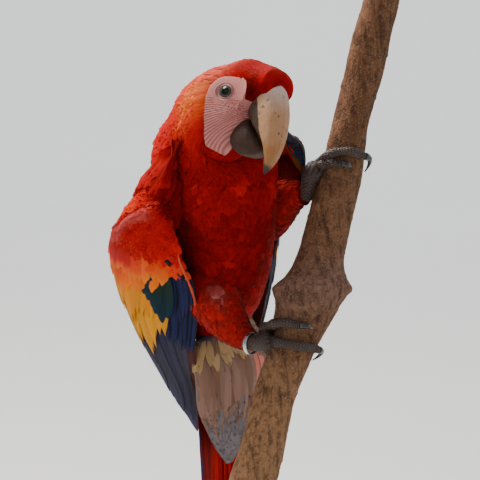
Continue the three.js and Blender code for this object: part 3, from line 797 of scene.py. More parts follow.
def effect(name, inputs, outputs, wire):
    """A node group with named inputs, their first values, and outputs, wired by a function of its signals."""
    group = bpy.data.node_groups.new(name, "ShaderNodeTree")
    for label, first in inputs.items():
        kind = "NodeSocketVector" if first is None else "NodeSocketFloat"
        made = group.interface.new_socket(label, in_out="INPUT", socket_type=kind)
        if first is not None:
            made.default_value = first
    for label in outputs:
        group.interface.new_socket(label, in_out="OUTPUT", socket_type="NodeSocketFloat")
    TREES.append(group)
    start, end = group.nodes.new("NodeGroupInput"), group.nodes.new("NodeGroupOutput")
    connect(end, zip(outputs, wire(*(Signal(start, label) for label in inputs))))
    TREES.pop()
    return group


def placed(group, *values):
    """The signals of a node group placed in the tree, with its inputs set or linked in their order."""
    made = node("Group", node_tree=group)
    connect(made, enumerate(values))
    return [Signal(made, k) for k in range(len(made.outputs))]


def material(name, wire, **constants):
    """A Principled material: constants go on its own sockets, and wire() gives the signals that vary."""
    made = bpy.data.materials.new(name)
    made.use_nodes = True
    shader = made.node_tree.nodes["Principled BSDF"]
    TREES.append(made.node_tree)
    connect(shader, {label.replace("_", " "): value for label, value in constants.items()})
    connect(shader, wire())
    TREES.pop()
    return made


def finish(thing, with_material):
    """Gives a piece its one material."""
    thing.data.materials.clear()
    thing.data.materials.append(with_material)
    return thing


# %% Effects that finishes share
def wire_patches(where, size, sharpness):
    """Soft noise from 0 to 1 round a half, of one size, stretched by sharpness about its middle."""
    noise = Signal(node("TexNoise", {"Vector": where, "Scale": size, "Detail": 4.0, "Roughness": 0.6}))
    return [Signal(node("Clamp", {0: (noise - 0.5) * sharpness + 0.5}))]


def wire_barbs(where, count, slant):
    """Barbs run out from the shaft at a slant: lines of along minus slanted across, with a ridge at the middle."""
    split = node("SeparateXYZ", {0: where})
    across = calc("ABSOLUTE", Signal(split, 0) - 0.5)
    noise = Signal(node("TexNoise", {"Vector": where, "Scale": 7.0, "Detail": 2.0}))
    phase = (Signal(split, 1) - across * slant + noise * 0.06) * count
    return [calc("SINE", phase) * 0.5 + 0.5, stepped(across, 0.035, 0.0)]


patches = effect("patches", {"Vector": None, "Scale": 20.0, "Sharpness": 1.5}, ["Factor"], wire_patches)
barbs = effect("barbs", {"Map": None, "Barbs": 160.0, "Slant": 0.9}, ["Lines", "Shaft"], wire_barbs)
print("effects:", [group.name for group in bpy.data.node_groups])


def patchy(size, sharpness, where=None):
    """The shared noise by object coordinates, or by another chart."""
    return placed(patches, where or position(), size, sharpness)[0]


# %% [markdown]
# ## Plumage
# A feather's colour is its dye, read on one scale, washed towards a pale grey, a little lighter or darker
# than its neighbours, and darker towards its root as painted shade where other feathers lie over it. Its
# surface is rough with a faint sheen, and the barbs bend its normal.

# %% The scale of dyes and the plumage materials
DYES = [
    (0.00, (0.006, 0.032, 0.13)),
    (0.03, (0.006, 0.004, 0.006)),
    (0.055, (0.16, 0.05, 0.012)),
    (0.08, (0.060, 0.0015, 0.001)),
    (0.16, (0.20, 0.001, 0.0004)),
    (0.24, (0.46, 0.003, 0.001)),
    (0.34, (0.66, 0.050, 0.001)),
    (0.44, (0.74, 0.15, 0.0005)),
    (0.52, (0.62, 0.24, 0.0005)),
    (0.60, (0.09, 0.085, 0.003)),
    (0.66, (0.008, 0.020, 0.008)),
    (0.72, (0.003, 0.020, 0.030)),
    (0.80, (0.002, 0.011, 0.062)),
    (0.88, (0.010, 0.012, 0.062)),
    (0.95, (0.005, 0.005, 0.014)),
    (1.00, (0.0015, 0.0015, 0.003)),
]
PALE = (0.62, 0.53, 0.49)


def dyed():
    """The plumage's colour: the dye's place on the scale, washed out by the wash. In places both hold painted light
    and shade.
    """
    return tint(number("wash"), scale(number("dye"), DYES), PALE)


def plumage(name, barb_count, depth, streak, **constants):
    """A feather material: barbs of a count and depth, and how much their lines and the feather's tone show."""

    def wire():
        lines, shaft = placed(barbs, own_map(), barb_count)
        tone = stepped(number("tone"), 0.0, 1.0, 0.86, 1.10)
        # painted shade: the lower half of each feather darker, where the feathers above cover it
        sunk = stepped(Signal(node("SeparateXYZ", {0: own_map()}), 1), 0.0, 0.5, 0.75, 1.0)
        light = tone * sunk * (lines * streak + (1.0 - streak / 2))
        grey = Signal(node("CombineColor", {0: light, 1: light, 2: light}))
        return {"Base Color": tint(1.0, dyed(), grey, "MULTIPLY"), "Normal": bump(lines * 0.5 + shaft, depth)}

    return material(name, wire, **constants)


soft = plumage("soft_plumage", 110.0, 0.00006, 0.12, Roughness=0.75, Specular_IOR_Level=0.03, Sheen_Weight=0.09,
               Sheen_Roughness=0.35, Sheen_Tint=(1.0, 0.42, 0.38, 1.0))
vaned = plumage("vaned_plumage", 210.0, 0.00006, 0.20, Roughness=0.55, Specular_IOR_Level=0.03)


def wire_skin():
    """Bare face: pink, paler and greyer round the eye, with dark red rows of tiny feathers from the gape.
    Under the coat the skin is the plumage's colour darkened as painted shade.
    """
    reach, fan = number("eye_reach"), number("fan")
    fine, broad = patchy(900.0, 1.6), patchy(90.0, 1.4)
    colour = tint(broad, (0.42, 0.125, 0.110), (0.49, 0.165, 0.150))
    colour = tint(stepped(reach, 20.0, 6.0, 0.0, 0.6), colour, (0.38, 0.130, 0.130))
    colour = tint(stepped(reach, 9.0, 6.5, 0.0, 0.7), colour, (0.29, 0.165, 0.145))
    rows = calc("SINE", fan * float(FAN_LINES) + broad * 2.5) * 0.5 + 0.5
    where = stepped(fan, -0.04, 0.22) * stepped(reach, 8.5, 12.0)
    dark, light = rows**2.0 * where, (1.0 - rows) ** 3.0 * where
    colour = tint(dark * 0.6, colour, (0.20, 0.04, 0.035))
    colour = tint(light * 0.35, colour, (0.62, 0.33, 0.30))
    colour = tint(fine * 0.22, colour, (0.50, 0.26, 0.22))
    # painted shade: where feathered, the skin is the plumage's colour darkened towards black-red
    under = tint(0.3, dyed(), (0.03, 0.002, 0.002))
    colour = tint(stepped(number("bare"), -0.7, 0.4), under, colour)
    return {"Base Color": colour, "Normal": bump(fine * 0.35 - dark, 0.00022)}


skin_material = material("bare_skin", wire_skin, Roughness=0.6, Specular_IOR_Level=0.15, Subsurface_Weight=0.12,
                         Subsurface_Scale=0.002)
finish(skin, skin_material)

# %% [markdown]
# ## The body's coat
# Feathers grow in rows round the body, longest on the back and belly and shorter to the bill. Each row is
# half a place on from the last. None grow on the bare face.


# %% Roots in rows round a surface
def roots(surface, start, end, length_at, row_pitch, round_pitch, seed, around=2 * math.pi, first=0.0):
    """Places (t, a) of roots: rows a share of a feather's length apart, and in them roots a share of it apart."""
    chance = np.random.default_rng(seed)
    ts, found, k = start, [], 0
    while ts < end:
        ring = surface(np.full(65, ts), first + np.linspace(0, around, 65))
        round_length = np.linalg.norm(np.diff(ring, axis=0), axis=1).sum()
        long = length_at(ts)
        count = max(4, round(round_length / (round_pitch * long)))
        a = first + (np.arange(count) + 0.5 * (k % 2) + chance.uniform(-0.22, 0.22, count)) / count * around
        down = pitch(surface, np.full(count, ts), a)[0]
        jitter = chance.uniform(-0.3, 0.3, count) * row_pitch * long / down
        found.append(np.stack([ts + jitter, a], -1))
        ts += row_pitch * long / np.median(down)
        k += 1
    return np.vstack(found).T


LENGTHS = ((0, 0.3, 0.42, 0.5, 0.58, 0.66, 0.8, 0.95, 1), (30, 27, 22, 17, 12.5, 8.5, 5.5, 4, 3))


def body_length(t):
    """A body feather's length in mm, from the tail root to the bill."""
    return np.interp(t, *LENGTHS)


def home_round(a, t):
    """Each body feather's place on the unwrapped skin."""
    return np.stack([(a / (2 * math.pi)) % 1.0, t], -1)


def body_coat(name, start, end, row_pitch, round_pitch, rows, columns, seed):
    """The feathers of one length of the body, without those that would grow on the bare face."""
    t, a = roots(body, start, end, body_length, row_pitch, round_pitch, seed)
    bare = face_depth(body(t, a))
    t, a, bare = (v[bare < -0.2] for v in (t, a, bare))
    dye, wash = body_marks_and_painted_light(t, a, body(t, a))
    chance = np.random.default_rng(seed)
    size = body_length(t) * chance.uniform(0.85, 1.12, len(t))
    tip_bare = face_depth(body(t - size / pitch(body, t, a)[0], a))
    size = size * np.where(tip_bare > 0.9, np.clip((0.9 - bare) / np.maximum(tip_bare - bare, 0.1), 0.3, 1), 1)
    sink = mix(mix(4.5, 2.0, ramp(t, 0.42, 0.62)), 0.7, ramp(t, 0.7, 0.95))
    rise = mix(0.25, 0.9, ramp(t, 0.93, 0.98)) + chance.exponential(mix(0.11, 0.09, ramp(t, 0.4, 0.5)))
    dye = dye + chance.normal(0, 0.008, len(t))
    made = coat(name, "red_plumage", body, t, a, home_round(a, t), dye, wash, seed, way=-1, length=size,
                half=size * 0.30, rows=rows, columns=columns, sink=sink, rise=rise,
                drift=chance.normal(0, 0.07, len(t)), arch=0.2, ragged=0.11)
    finish(made, soft)


def brow(t, a, h=0.0):
    """The skull's round end over the bill: t from its middle to the last ring at 1, then over the forehead."""
    t, a, h = np.broadcast_arrays(np.asarray(t, float), a, h)
    inner = np.minimum(t, 1)[..., None]
    ahead = np.cross(BODY_ROWS[-1, 6:9], BODY_ROWS[-1, 9:12])
    out = unit(body(1.0 + 0 * t, a, 1.0) - body(1.0 + 0 * t, a))
    flat = mix(BODY_ROWS[-1, :3], body(1 - 0.1 * np.maximum(t - 1, 0), a), inner)
    return flat + 0.8 * (1 - inner**2) * ahead + h[..., None] * unit(mix(ahead, out, inner**2))


def brow_coat():
    """Short feathers that cover the skull's round end and run back over the forehead."""
    t, a = roots(brow, 0.08, 1.0, lambda t: 3.4, 0.22, 0.26, 14)
    home = np.stack([a / 7 % 1, 0.99 + 0 * t], -1)
    made = coat("coat_brow", "red_plumage", brow, t, a, home, 0.215 + 0 * t, 0.0, 15, length=3.4, half=1.05, rows=4,
                columns=4, sink=0.7, rise=0.8, arch=0.14, ragged=0.12)
    finish(made, soft)


brow_coat()
body_coat("coat_trunk", 0.07, 0.42, 0.17, 0.20, 6, 4, 11)
body_coat("coat_neck", 0.42, 0.58, 0.16, 0.18, 5, 4, 12)
body_coat("coat_head", 0.58, 0.9995, 0.24, 0.24, 4, 4, 13)


def face_feathers():
    """Tiny red feathers in rows over the bare face, each where a row's line and a step along it meet."""
    side = head[..., 0] > 0
    phase = fan * FAN_LINES / (2 * math.pi) - 0.25
    line = np.round(phase)
    step = np.floor(fan_reach / 1.9 + 0.5 * (line % 2))
    fits = (bare > 0.9) & (eye_reach > 9.5) & (fan > 0.1) & (fan_reach > 13) & (T > 0.5)
    fits = fits & (np.abs(phase - line) < 0.12)
    cells = np.stack([side[fits], line[fits], step[fits]])
    pick = np.flatnonzero(fits)[np.unique(cells, axis=1, return_index=True)[1]]
    t, a = T.ravel()[pick], A.ravel()[pick]

    def slope(u, v):
        return (local(HEAD, body(t + u, a + v)) - local(HEAD, body(t - u, a - v)))[:, 1:] / (2 * STEP)

    down, across = slope(STEP, 0), slope(0, STEP)
    turn = fan.ravel()[pick] + np.random.default_rng(16).normal(0, 0.15, len(pick))
    to = np.stack([np.cos(turn), -np.sin(turn)], -1) * 1.7
    area = down[:, 0] * across[:, 1] - down[:, 1] * across[:, 0]
    tip = (t + (to[:, 0] * across[:, 1] - to[:, 1] * across[:, 0]) / area,
           a + (to[:, 1] * down[:, 0] - to[:, 0] * down[:, 1]) / area)
    dye = 0.17 + np.random.default_rng(17).normal(0, 0.015, len(t))
    made = coat("face_feathers", "red_plumage", body, t, a, home_round(a, t), dye, 0.10, 18, tip=tip, length=1.7,
                half=0.26, rows=3, columns=2, sink=0.3, lift=-0.25, rise=0.35, arch=0.2)
    finish(made, soft)


face_feathers()

# %% [markdown]
# ## Wings
# A folded wing is a shingled stack: small coverts over the arm, then rows of longer coverts, then the
# secondaries, and lowest the primaries, whose tips reach the end. A row is made from two smooth lines on the
# wing's own chart, one for the roots and one for the tips. Each feather takes its dye from the place of its
# middle on the wing, so the bands of red, yellow, green and blue have edges made of whole feathers. Inner
# faces get the same long feathers in their dull red.

# %% The wing's bands, and rows of feathers on it
RED_ENDS = ((0.0, 0.14, 0.18, 0.28, 0.39, 0.53, 0.8, 1.0), (0.335, 0.335, 0.345, 0.370, 0.40, 0.455, 0.44, 0.39))
YELLOW_ENDS = ((0.0, 0.15, 0.19, 0.26, 0.38, 0.50, 0.75, 1.0), (0.3, 0.3, 0.585, 0.61, 0.635, 0.67, 0.60, 0.50))


def wing_dye(t, f):
    """The dye at a place of the folded wing: red down to one line, yellow down to the next, then blue."""
    red_end, yellow_end = np.interp(f, *RED_ENDS), np.interp(f, *YELLOW_ENDS)
    orange = mix(0.215, 0.33, ramp(t, red_end - 0.06, red_end - 0.01))
    yellow = mix(0.36, 0.505, ramp(t, red_end, red_end + 0.12))
    blue = 0.815 + 0.05 * np.sin(9 * f + 5 * t)
    return np.where(t < red_end, orange, np.where(t < yellow_end, yellow, blue))


def row_of(count, roots_line, tips_line, seed, jitter=0.01):
    """Roots and tips of count feathers, each along one smooth line of (t, f) places, a little uneven."""
    chance = np.random.default_rng(seed)
    k = np.linspace(0, 1, count)
    places = [along(line, k) + chance.normal(0, jitter, (count, 2)) * (1, 0.5) for line in (roots_line, tips_line)]
    return np.concatenate(places, 1)


def wing_row(name, side, slot, rows_of, half, dye, seed, wash=0.0, look=vaned, **how):
    """A piece of long feathers on a wing, from rows of (root t, root f, tip t, tip f)."""
    t, f, *tip = rows_of.T
    made = coat(name, slot, WINGS[side], t, f, home_on_wing(t, f), dye, wash, seed, half=half, tip=tip, **how)
    finish(made, look)


print("red gives way to yellow at", wing_dye(np.array([0.3, 0.36, 0.5, 0.8]), 0.35).round(2))

# %% [markdown]
# The long feathers come first, lowest in the stack. A primary is near black on its hidden inner web and blue
# on the outer one, with a dark shaft; a secondary is bluer, and its tip is rounder.


# %% Primaries, secondaries and the long coverts
def quill_dye(base, dark):
    """A dye for long feathers: the base along the outer web, dark at the inner edge and the very tip."""

    def at(s, c):
        edge = ramp(-c, 0.2, 0.8) * ramp(s, 0.1, 0.4) + 0.7 * ramp(s, 0.93, 1.0) + 0.6 * bell(c, 0.07)
        return mix(np.asarray(base)[:, None, None] + 0 * s, dark, np.clip(edge, 0, 1))

    return at


def long_feathers(side):
    """Primaries, secondaries, their coverts and the green group of one wing."""
    primaries = row_of(10, [(0.40, 0.03), (0.44, 0.16), (0.47, 0.30)], [(1.0, 0.35), (0.94, 0.28), (0.83, 0.33)],
                       5, 0.004)
    blues = 0.83 + 0.03 * np.sin(np.arange(10) * 2.1)
    wing_row(f"primaries_{side}", side, "flight_feathers", primaries, 10.5, quill_dye(blues, 0.93), 21, 0.05,
             rows=26, columns=6, sink=1.2, lift=-1.6, rise=1.0, tilt=-0.7, arch=0.04, taper=0.75, shoulder=0.72,
             ragged=0.004, rounded=1.0, bow=0.012)
    secondaries = row_of(13, [(0.42, 0.20), (0.44, 0.6), (0.40, 0.97)], [(0.90, 0.38), (0.82, 0.62), (0.64, 0.95)],
                         6, 0.006)
    blues = 0.82 + 0.035 * np.sin(np.arange(13) * 1.7)
    wing_row(f"secondaries_{side}", side, "flight_feathers", secondaries, 11.0, quill_dye(blues, 0.93), 22, 0.03,
             rows=22, columns=6, sink=1.0, lift=np.linspace(-1.0, 0.3, 13), rise=0.8, tilt=-0.7, arch=0.04,
             taper=0.6, shoulder=0.75, ragged=0.005, rounded=1.0)
    upper = row_of(8, [(0.30, 0.01), (0.32, 0.09), (0.34, 0.17)], [(0.50, 0.03), (0.56, 0.10), (0.53, 0.19)], 7)
    upper = np.vstack([upper, row_of(7, [(0.42, 0.02), (0.45, 0.17)], [(0.66, 0.05), (0.63, 0.21)], 8)])
    blues = 0.80 + 0.05 * np.random.default_rng(9).random(15)
    wing_row(f"primary_coverts_{side}", side, "wing_coverts", upper, 5.5, quill_dye(blues, 0.97), 23, rows=12,
             columns=6, sink=1.4, lift=0.2, rise=0.9, tilt=-0.5, arch=0.08, taper=0.85, shoulder=0.45, ragged=0.01,
             rounded=0.6)


for side in WINGS:
    long_feathers(side)

# %% [markdown]
# Over them lie the greater coverts, yellow with a touch of green at the tips, and two rows of median coverts
# that go from orange to yellow. Near the leading edge one group of greater coverts is dark green.


# %% Greater and median coverts
def tipped(base, tip, start):
    """A dye that goes from the base to the tip's dye past start of the feather's length."""
    return lambda s, c: mix(np.asarray(base)[:, None, None] + 0 * s, tip, ramp(s + 0.06 * c * c, start, 1.0))


def band_feathers(side):
    """The greater coverts in yellow and in green, and two rows of median coverts, of one wing."""
    greater = row_of(14, [(0.40, 0.19), (0.42, 0.5), (0.37, 0.99)], [(0.60, 0.22), (0.685, 0.52), (0.56, 0.98)], 31)
    second = row_of(14, [(0.36, 0.20), (0.38, 0.5), (0.34, 0.99)], [(0.52, 0.24), (0.60, 0.53), (0.49, 0.97)], 32)
    yellow = np.repeat([0.52, 0.50], 14) + np.random.default_rng(33).normal(0, 0.012, 28)
    wing_row(f"greater_coverts_{side}", side, "wing_coverts", np.vstack([greater, second]), 8.0,
             tipped(yellow, 0.53, 0.8), 34, rows=14, columns=6, sink=1.5, lift=np.repeat([0.5, 1.0], 14), rise=0.6,
             tilt=-0.5, arch=0.07, taper=0.92, shoulder=0.35, ragged=0.02, rounded=0.5)
    greens = row_of(5, [(0.335, 0.15), (0.335, 0.22), (0.345, 0.29)],
                    [(0.545, 0.185), (0.525, 0.25), (0.455, 0.315)], 35)
    wing_row(f"green_coverts_{side}", side, "wing_coverts", greens, 7.0, tipped(np.full(5, 0.675), 0.73, 0.3), 36,
             rows=14, columns=6, sink=1.3, lift=1.5, rise=0.6, tilt=-0.5, arch=0.07, taper=0.5, shoulder=0.6,
             ragged=0.012, rounded=0.9)
    both = np.vstack([
        row_of(17, [(0.335, 0.23), (0.345, 0.5), (0.31, 1.0)], [(0.45, 0.25), (0.49, 0.54), (0.42, 0.99)], 37),
        row_of(19, [(0.29, 0.16), (0.295, 0.5), (0.27, 1.0)], [(0.385, 0.18), (0.425, 0.53), (0.37, 1.0)], 38),
    ])
    dye = wing_dye((both[:, 0] + 2 * both[:, 2]) / 3, both[:, 3])
    wing_row(f"median_coverts_{side}", side, "wing_coverts", both, 7.0, tipped(dye, 0.46, 0.55), 39, rows=9,
             columns=6, sink=1.6, lift=np.repeat([1.3, 1.6], [17, 19]), rise=0.8, tilt=-0.4, arch=0.1, taper=0.6,
             shoulder=0.5, ragged=0.03, rounded=0.9)


for side in WINGS:
    band_feathers(side)

# %% [markdown]
# The lesser coverts are small and red, in rows like a roof's shingles, longer down the wing. The last of them
# near the leading edge are orange. The mantle's feathers lie round the arch of the wrist, and those of the
# shoulder, the scapulars, come down over the wing's top and its inner edge.


# %% Lesser coverts, mantle and scapulars
def wrist_marks_and_highlight(side, t, f, dye):
    """Dye and wash at the wrist: on the right a painted highlight washes the hump inside the arch paler;
    the left, drawn forward, shows its dark hidden feathers.
    """
    if side == "right":
        # painted highlight: a pale wash along the top of the hump, inside the arch
        return dye, 0.08 * bell(in_arch(t, f) - 7, 8) * ramp(f, 0.15, 0.4)
    near = (t < 0.2) & (f < 0.6)
    return np.where(near, 0.93, dye), np.where(near, 0.06, 0.0)


def covert_length(t):
    """A lesser covert's length in mm, from the wrist down."""
    return np.interp(t, (0, 0.1, 0.3), (10, 13, 21))


def lesser_coverts(side, chance):
    """Small red shingles inside the arch, with a few orange ones by the leading edge and a few near black ones
    there as painted shadow in the gaps.
    """
    t, f = roots(WINGS[side], -0.03, 0.305, covert_length, 0.20, 0.24, 41, around=0.98, first=0.03)
    t, f = (v[in_arch(t, f) > -3] for v in (t, f))
    size = covert_length(t) * chance.uniform(0.88, 1.12, len(t))
    dye = wing_dye(t + size / 420, f) + chance.normal(0, 0.008, len(t))
    front = bell(f - 0.07, 0.10) * ramp(t, 0.18, 0.27)
    dye = np.where(f < 0.19, np.minimum(dye, 0.30), dye)
    dye = mix(dye, 0.325, front * (chance.random(len(t)) < 0.45))
    # painted shadow: a few feathers by the leading edge near black, for the dark gaps there
    dye = np.where((front > 0.5) & (chance.random(len(t)) < 0.12), 0.03, dye)
    dye, wash = wrist_marks_and_highlight(side, t, f, dye)
    made = coat(f"lesser_coverts_{side}", "wing_coverts", WINGS[side], t, f, home_on_wing(t, f), dye, wash, 43,
                length=size, half=size * 0.28, rows=6, columns=4, sink=2.0, lift=0.9, rise=0.12,
                drift=chance.normal(0, 0.07, len(t)), arch=0.16, ragged=0.11, taper=0.6)
    finish(made, soft)


def mantle(side, chance):
    """Feathers outside the arch, cut off where it begins: orange on the back as a painted rim highlight, and
    painted shade towards the breast and in the gap beside the arch.
    """
    t, f = roots(WINGS[side], -0.05, 0.29, lambda t: 15.0, 0.20, 0.24, 48, around=1.02, first=0.0)
    within = in_arch(t, f)
    size = np.minimum(15 * chance.uniform(0.85, 1.15, len(t)), 5 - within)
    t, f, size, within = (v[size > 8] for v in (t, f, size, within))
    # painted rim highlight: orange on the back, well outside the arch
    orange = 0.10 * ramp(within, -8, -14) * ramp(f, 0.52, 0.64) * ramp(t, 0.0, 0.12)
    # painted shade: darker towards the leading edge, beside the breast
    dye = mix(0.14, 0.19, ramp(f, 0.1, 0.35)) + orange
    # painted shade: dark maroon in the hollow just outside the arch
    dye = mix(dye, 0.10, 0.8 * ramp(within, -9, -3) * ramp(f, 0.35, 0.5) * ramp(f, 0.68, 0.6))
    dye = dye + chance.normal(0, 0.01, len(t))
    dye, wash = wrist_marks_and_highlight(side, t, f, dye)
    made = coat(f"mantle_{side}", "red_plumage", WINGS[side], t, f, home_on_wing(t, f), dye, wash, 49, length=size,
                half=size * 0.27, rows=5, columns=4, sink=2.0, lift=1.4, rise=0.2,
                drift=chance.normal(0, 0.14, len(t)), arch=0.12, ragged=0.16, taper=0.6)
    finish(made, soft)


def scapulars(side, chance):
    """Two rows over the wing's top and one along its inner edge, whose last feathers turn yellow and green."""
    every = np.vstack([
        row_of(26, [(-0.09, 0), (-0.10, 0.4), (-0.08, 1)], [(0.03, 0.06), (0.035, 0.4), (0.07, 0.93)], 44, 0.015),
        row_of(26, [(-0.14, 0), (-0.15, 0.4), (-0.13, 1)], [(-0.02, 0.06), (-0.01, 0.4), (0, 0.95)], 45, 0.015),
        row_of(24, [(-0.04, 0.98), (0.12, 1.03), (0.3, 1.03)], [(0.1, 0.86), (0.24, 0.86), (0.46, 0.8)], 46, 0.012),
    ])
    dye = mix(0.155, 0.20, ramp(every[:, 1], 0.45, 0.75)) + chance.normal(0, 0.012, len(every))
    dye, wash = wrist_marks_and_highlight(side, every[:, 0], every[:, 1], dye)
    dye[-7:] = (0.24, 0.30, 0.40, 0.46, 0.60, 0.64, 0.68)
    half, lift = (np.repeat(each, [26, 26, 24]) for each in ([5.0, 5.0, 8.5], [3.2, 4.2, 2.6]))
    wing_row(f"scapulars_{side}", side, "red_plumage", every, half, dye, 47, wash, soft, rows=7, columns=4, sink=2,
             lift=lift, rise=0.6, arch=0.12, taper=0.5, ragged=0.04)


def leading_edge(side):
    """A narrow row of salmon feathers along the leading edge; the left wing's wrist also shows long dark ones."""
    if side == "left":
        wrist = row_of(6, [(-0.07, 0.02), (-0.06, 0.22), (-0.02, 0.42)],
                       [(0.30, -0.01), (0.27, 0.12), (0.22, 0.30)], 54, 0.0)
        dye, wash = (0.055, 0.80, 0.98, 0.07, 0.085, 0.07), (0.0, 0.03, 0.0, 0.06, 0.03, 0.05)
        wing_row("wrist_left", side, "wing_coverts", wrist, 7.0, tipped(dye, 0.075, 0.9), 58, wash, rows=14,
                 columns=6, sink=2.0, lift=2.0, rise=0.2, arch=0.1, taper=0.7, shoulder=0.5, ragged=0.01)
    edge = row_of(17, [(0.22, 0.01), (0.43, 0.0)], [(0.29, 0.012), (0.50, 0.004)], 55, 0.003)
    dye = 0.315 + np.random.default_rng(56).normal(0, 0.01, 17)
    wing_row(f"leading_edge_{side}", side, "wing_coverts", edge, 0.9, dye, 57, 0.07, rows=8, columns=4, sink=0.6,
             lift=1.6, rise=0.5, arch=0.1, taper=0.6, ragged=0.04)


for side in WINGS:
    chance = np.random.default_rng(42)
    for small_feathers in (lesser_coverts, mantle, scapulars):
        small_feathers(side, chance)
    leading_edge(side)

# %% [markdown]
# The inner face of the flight part is seen from below and behind. A thin closed core keeps light from passing
# between the feathers, and long vanes in dull red lie on it.


# %% Inner faces
def inner_face(side):
    """The inner face of a wing as a surface of its own, turned to the body."""
    t, f = np.meshgrid(np.linspace(0, 1, 91), np.linspace(0, 1, 41), indexing="ij")
    return charted(WINGS[side](t, f, -thickness(side, t, f)), -1 if side == "left" else 1)


def under_the_wing(side):
    """The core, soft coverts under the arm, and the undersides of the long feathers."""
    points = slab(side, WING_SPLIT + 0.02, 0.93, 1.7, 60, 30)
    core = piece(f"flight_core_{side}", points, closed(points), "flight_feathers",
                 uv=np.zeros((*points.shape[:2], 2)), dye=0.09, wash=0.05, tone=0.3)
    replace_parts(core, f"wing_{side}_flight")
    finish(core, vaned)
    face = inner_face(side)
    t, f = roots(WINGS[side], 0.02, 0.42, lambda t: 17.0, 0.30, 0.34, 58, around=0.9, first=0.06)
    chance = np.random.default_rng(59)
    dye = mix(0.28, 0.10, ramp(t, 0.05, 0.13)) + chance.normal(0, 0.008, len(t))
    made = coat(f"underwing_coverts_{side}", "red_plumage", face, t, f, home_on_wing(t, f), dye, 0.0, 60,
                length=17 * chance.uniform(0.85, 1.15, len(t)), half=5.2, rows=5, columns=4, sink=1.2, rise=0.4,
                drift=chance.normal(0, 0.1, len(t)), arch=0.08, ragged=0.06, chart=WINGS[side])
    finish(made, soft)
    t, f, *tip = np.vstack([
        row_of(9, [(0.42, 0.06), (0.45, 0.3)], [(0.99, 0.35), (0.84, 0.38)], 51, 0.004),
        row_of(10, [(0.42, 0.34), (0.40, 0.94)], [(0.82, 0.46), (0.66, 0.90)], 52, 0.006),
    ]).T
    made = coat(f"under_feathers_{side}", "flight_feathers", face, t, f, home_on_wing(t, f),
                quill_dye(np.full(19, 0.115), 0.04), 0.06, 53, half=11.0, tip=tip, rows=20, columns=6, sink=0.4,
                lift=-0.6, rise=0.3, tilt=0.5, arch=0.03, taper=0.7, shoulder=0.72, ragged=0.004, rounded=1.0,
                chart=WINGS[side])
    finish(made, vaned)


for side in WINGS:
    under_the_wing(side)

# %% [markdown]
# ## Tail
# A macaw's tail is a stack of twelve feathers, the middle pair longest and on top, each next pair shorter and
# lower. From behind it is red with blue sides; its underside is a dull, dark red. The loose coverts under it
# are pale and downy.

# %% The tail's twelve feathers
TAIL = [
    (0, 20), (60, 20), (140, 19), (220, 18), (300, 17), (380, 16), (440, 15), (476, 14),
]  # distance from the root, and how far to the back, evenly along t
TAIL_ROOT = -208  # up the spine
TAIL_LEAN = 0.02
tail_table = along(TAIL, np.linspace(0, 1, 400))

PAIR, SIGN = np.repeat(np.arange(6), 2), np.tile([-1.0, 1.0], 6)
LAYER = 3.4 - 1.45 * PAIR  # mm to the back
tail_chance = np.random.default_rng(61)


def tail_face(t, x, h=0.0):
    """The tail's middle layer: t down its length, x mm to the side, h mm to the back; the sides sag forward."""
    t, x, h = np.broadcast_arrays(np.asarray(t, float), x, h)
    row = straight(tail_table, t)
    down = row[..., 0] + np.clip(t - 1, 0, 1) * 400
    sag = 0.012 * x * x
    return place(BODY, np.stack([x - TAIL_LEAN * down, row[..., 1] + h - sag + 3, TAIL_ROOT - down], -1))


def tail_feathers(label, face, half, lift, dye):
    """Six pairs from the lowest, outer pair to the middle pair on top, as one face of vanes."""
    ends = np.array([0.985, 0.93, 0.84, 0.73, 0.62, 0.50])[PAIR]
    root_x, tip_x = SIGN * (2.5 + 4.5 * PAIR), SIGN * np.array([1.2, 5.5, 10.5, 14.5, 17.5, 19.0])[PAIR]
    t = np.zeros(12)
    made = coat(f"tail_{label}", "tail_feathers", face, t, root_x, np.stack([0.5 + root_x / 80, t + 0.1], -1), dye,
                0.0, 62, half=half, tip=(ends, tip_x), rows=40, columns=8, sink=0.0, lift=lift, rise=0.0, arch=0.06,
                taper=0.9, shoulder=0.6, ragged=0.002, rounded=1.0)
    return finish(made, vaned)


def top_dye(s, c):
    """Red with blue along the outer edges and at the tips, more of it on the lower pairs."""
    edge = ramp(c * SIGN[:, None, None], 0.1, 0.75) * ramp(PAIR[:, None, None] + 3 * s, 0.8, 3.2)
    return mix(0.20 + 0.02 * tail_chance.random((12, 1, 1)), 0.0, np.clip(edge + ramp(s, 0.86, 0.97), 0, 1))


def under_dye(s, c):
    """Dull red, brighter at the shaft and at both rims."""
    return 0.15 + 0.05 * bell(c, 0.12) + 0.12 * ramp(np.abs(c), 0.8, 1.0)


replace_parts(tail_feathers("top", tail_face, 11.2, LAYER + 0.35, top_dye), "tail")
tail_feathers("under", lambda t, x, h=0.0: tail_face(t, x, -h), 12.5, 0.35 - LAYER, under_dye)

# %% Loose coverts under the tail, and the thighs' feathers
COVERTS = [
    (0, 31, 9, 0), (30, 38.5, 12, -3), (80, 39.5, 12, -4), (125, 28.5, 9, -2), (165, 15, 5, 1), (192, 4, 1.6, 4),
]  # distance from the root, half width, half thickness, how far to the back
COVERTS_ROOT = -196  # up the spine
coverts_table = along(COVERTS, np.linspace(0, 1, 200))


def coverts_face(t, a, h=0.0):
    """The pad of coverts under the tail: an oval about its middle line, its radii larger by h."""
    row = straight(coverts_table, np.asarray(t, float))
    x = (row[..., 1] + h) * np.cos(a) - TAIL_LEAN * row[..., 0] - 8 * ramp(row[..., 0], 60, 0)
    y = row[..., 3] + (row[..., 2] + h) * np.sin(a)
    return place(BODY, np.stack([x, y, COVERTS_ROOT - row[..., 0] + 0 * x], -1))


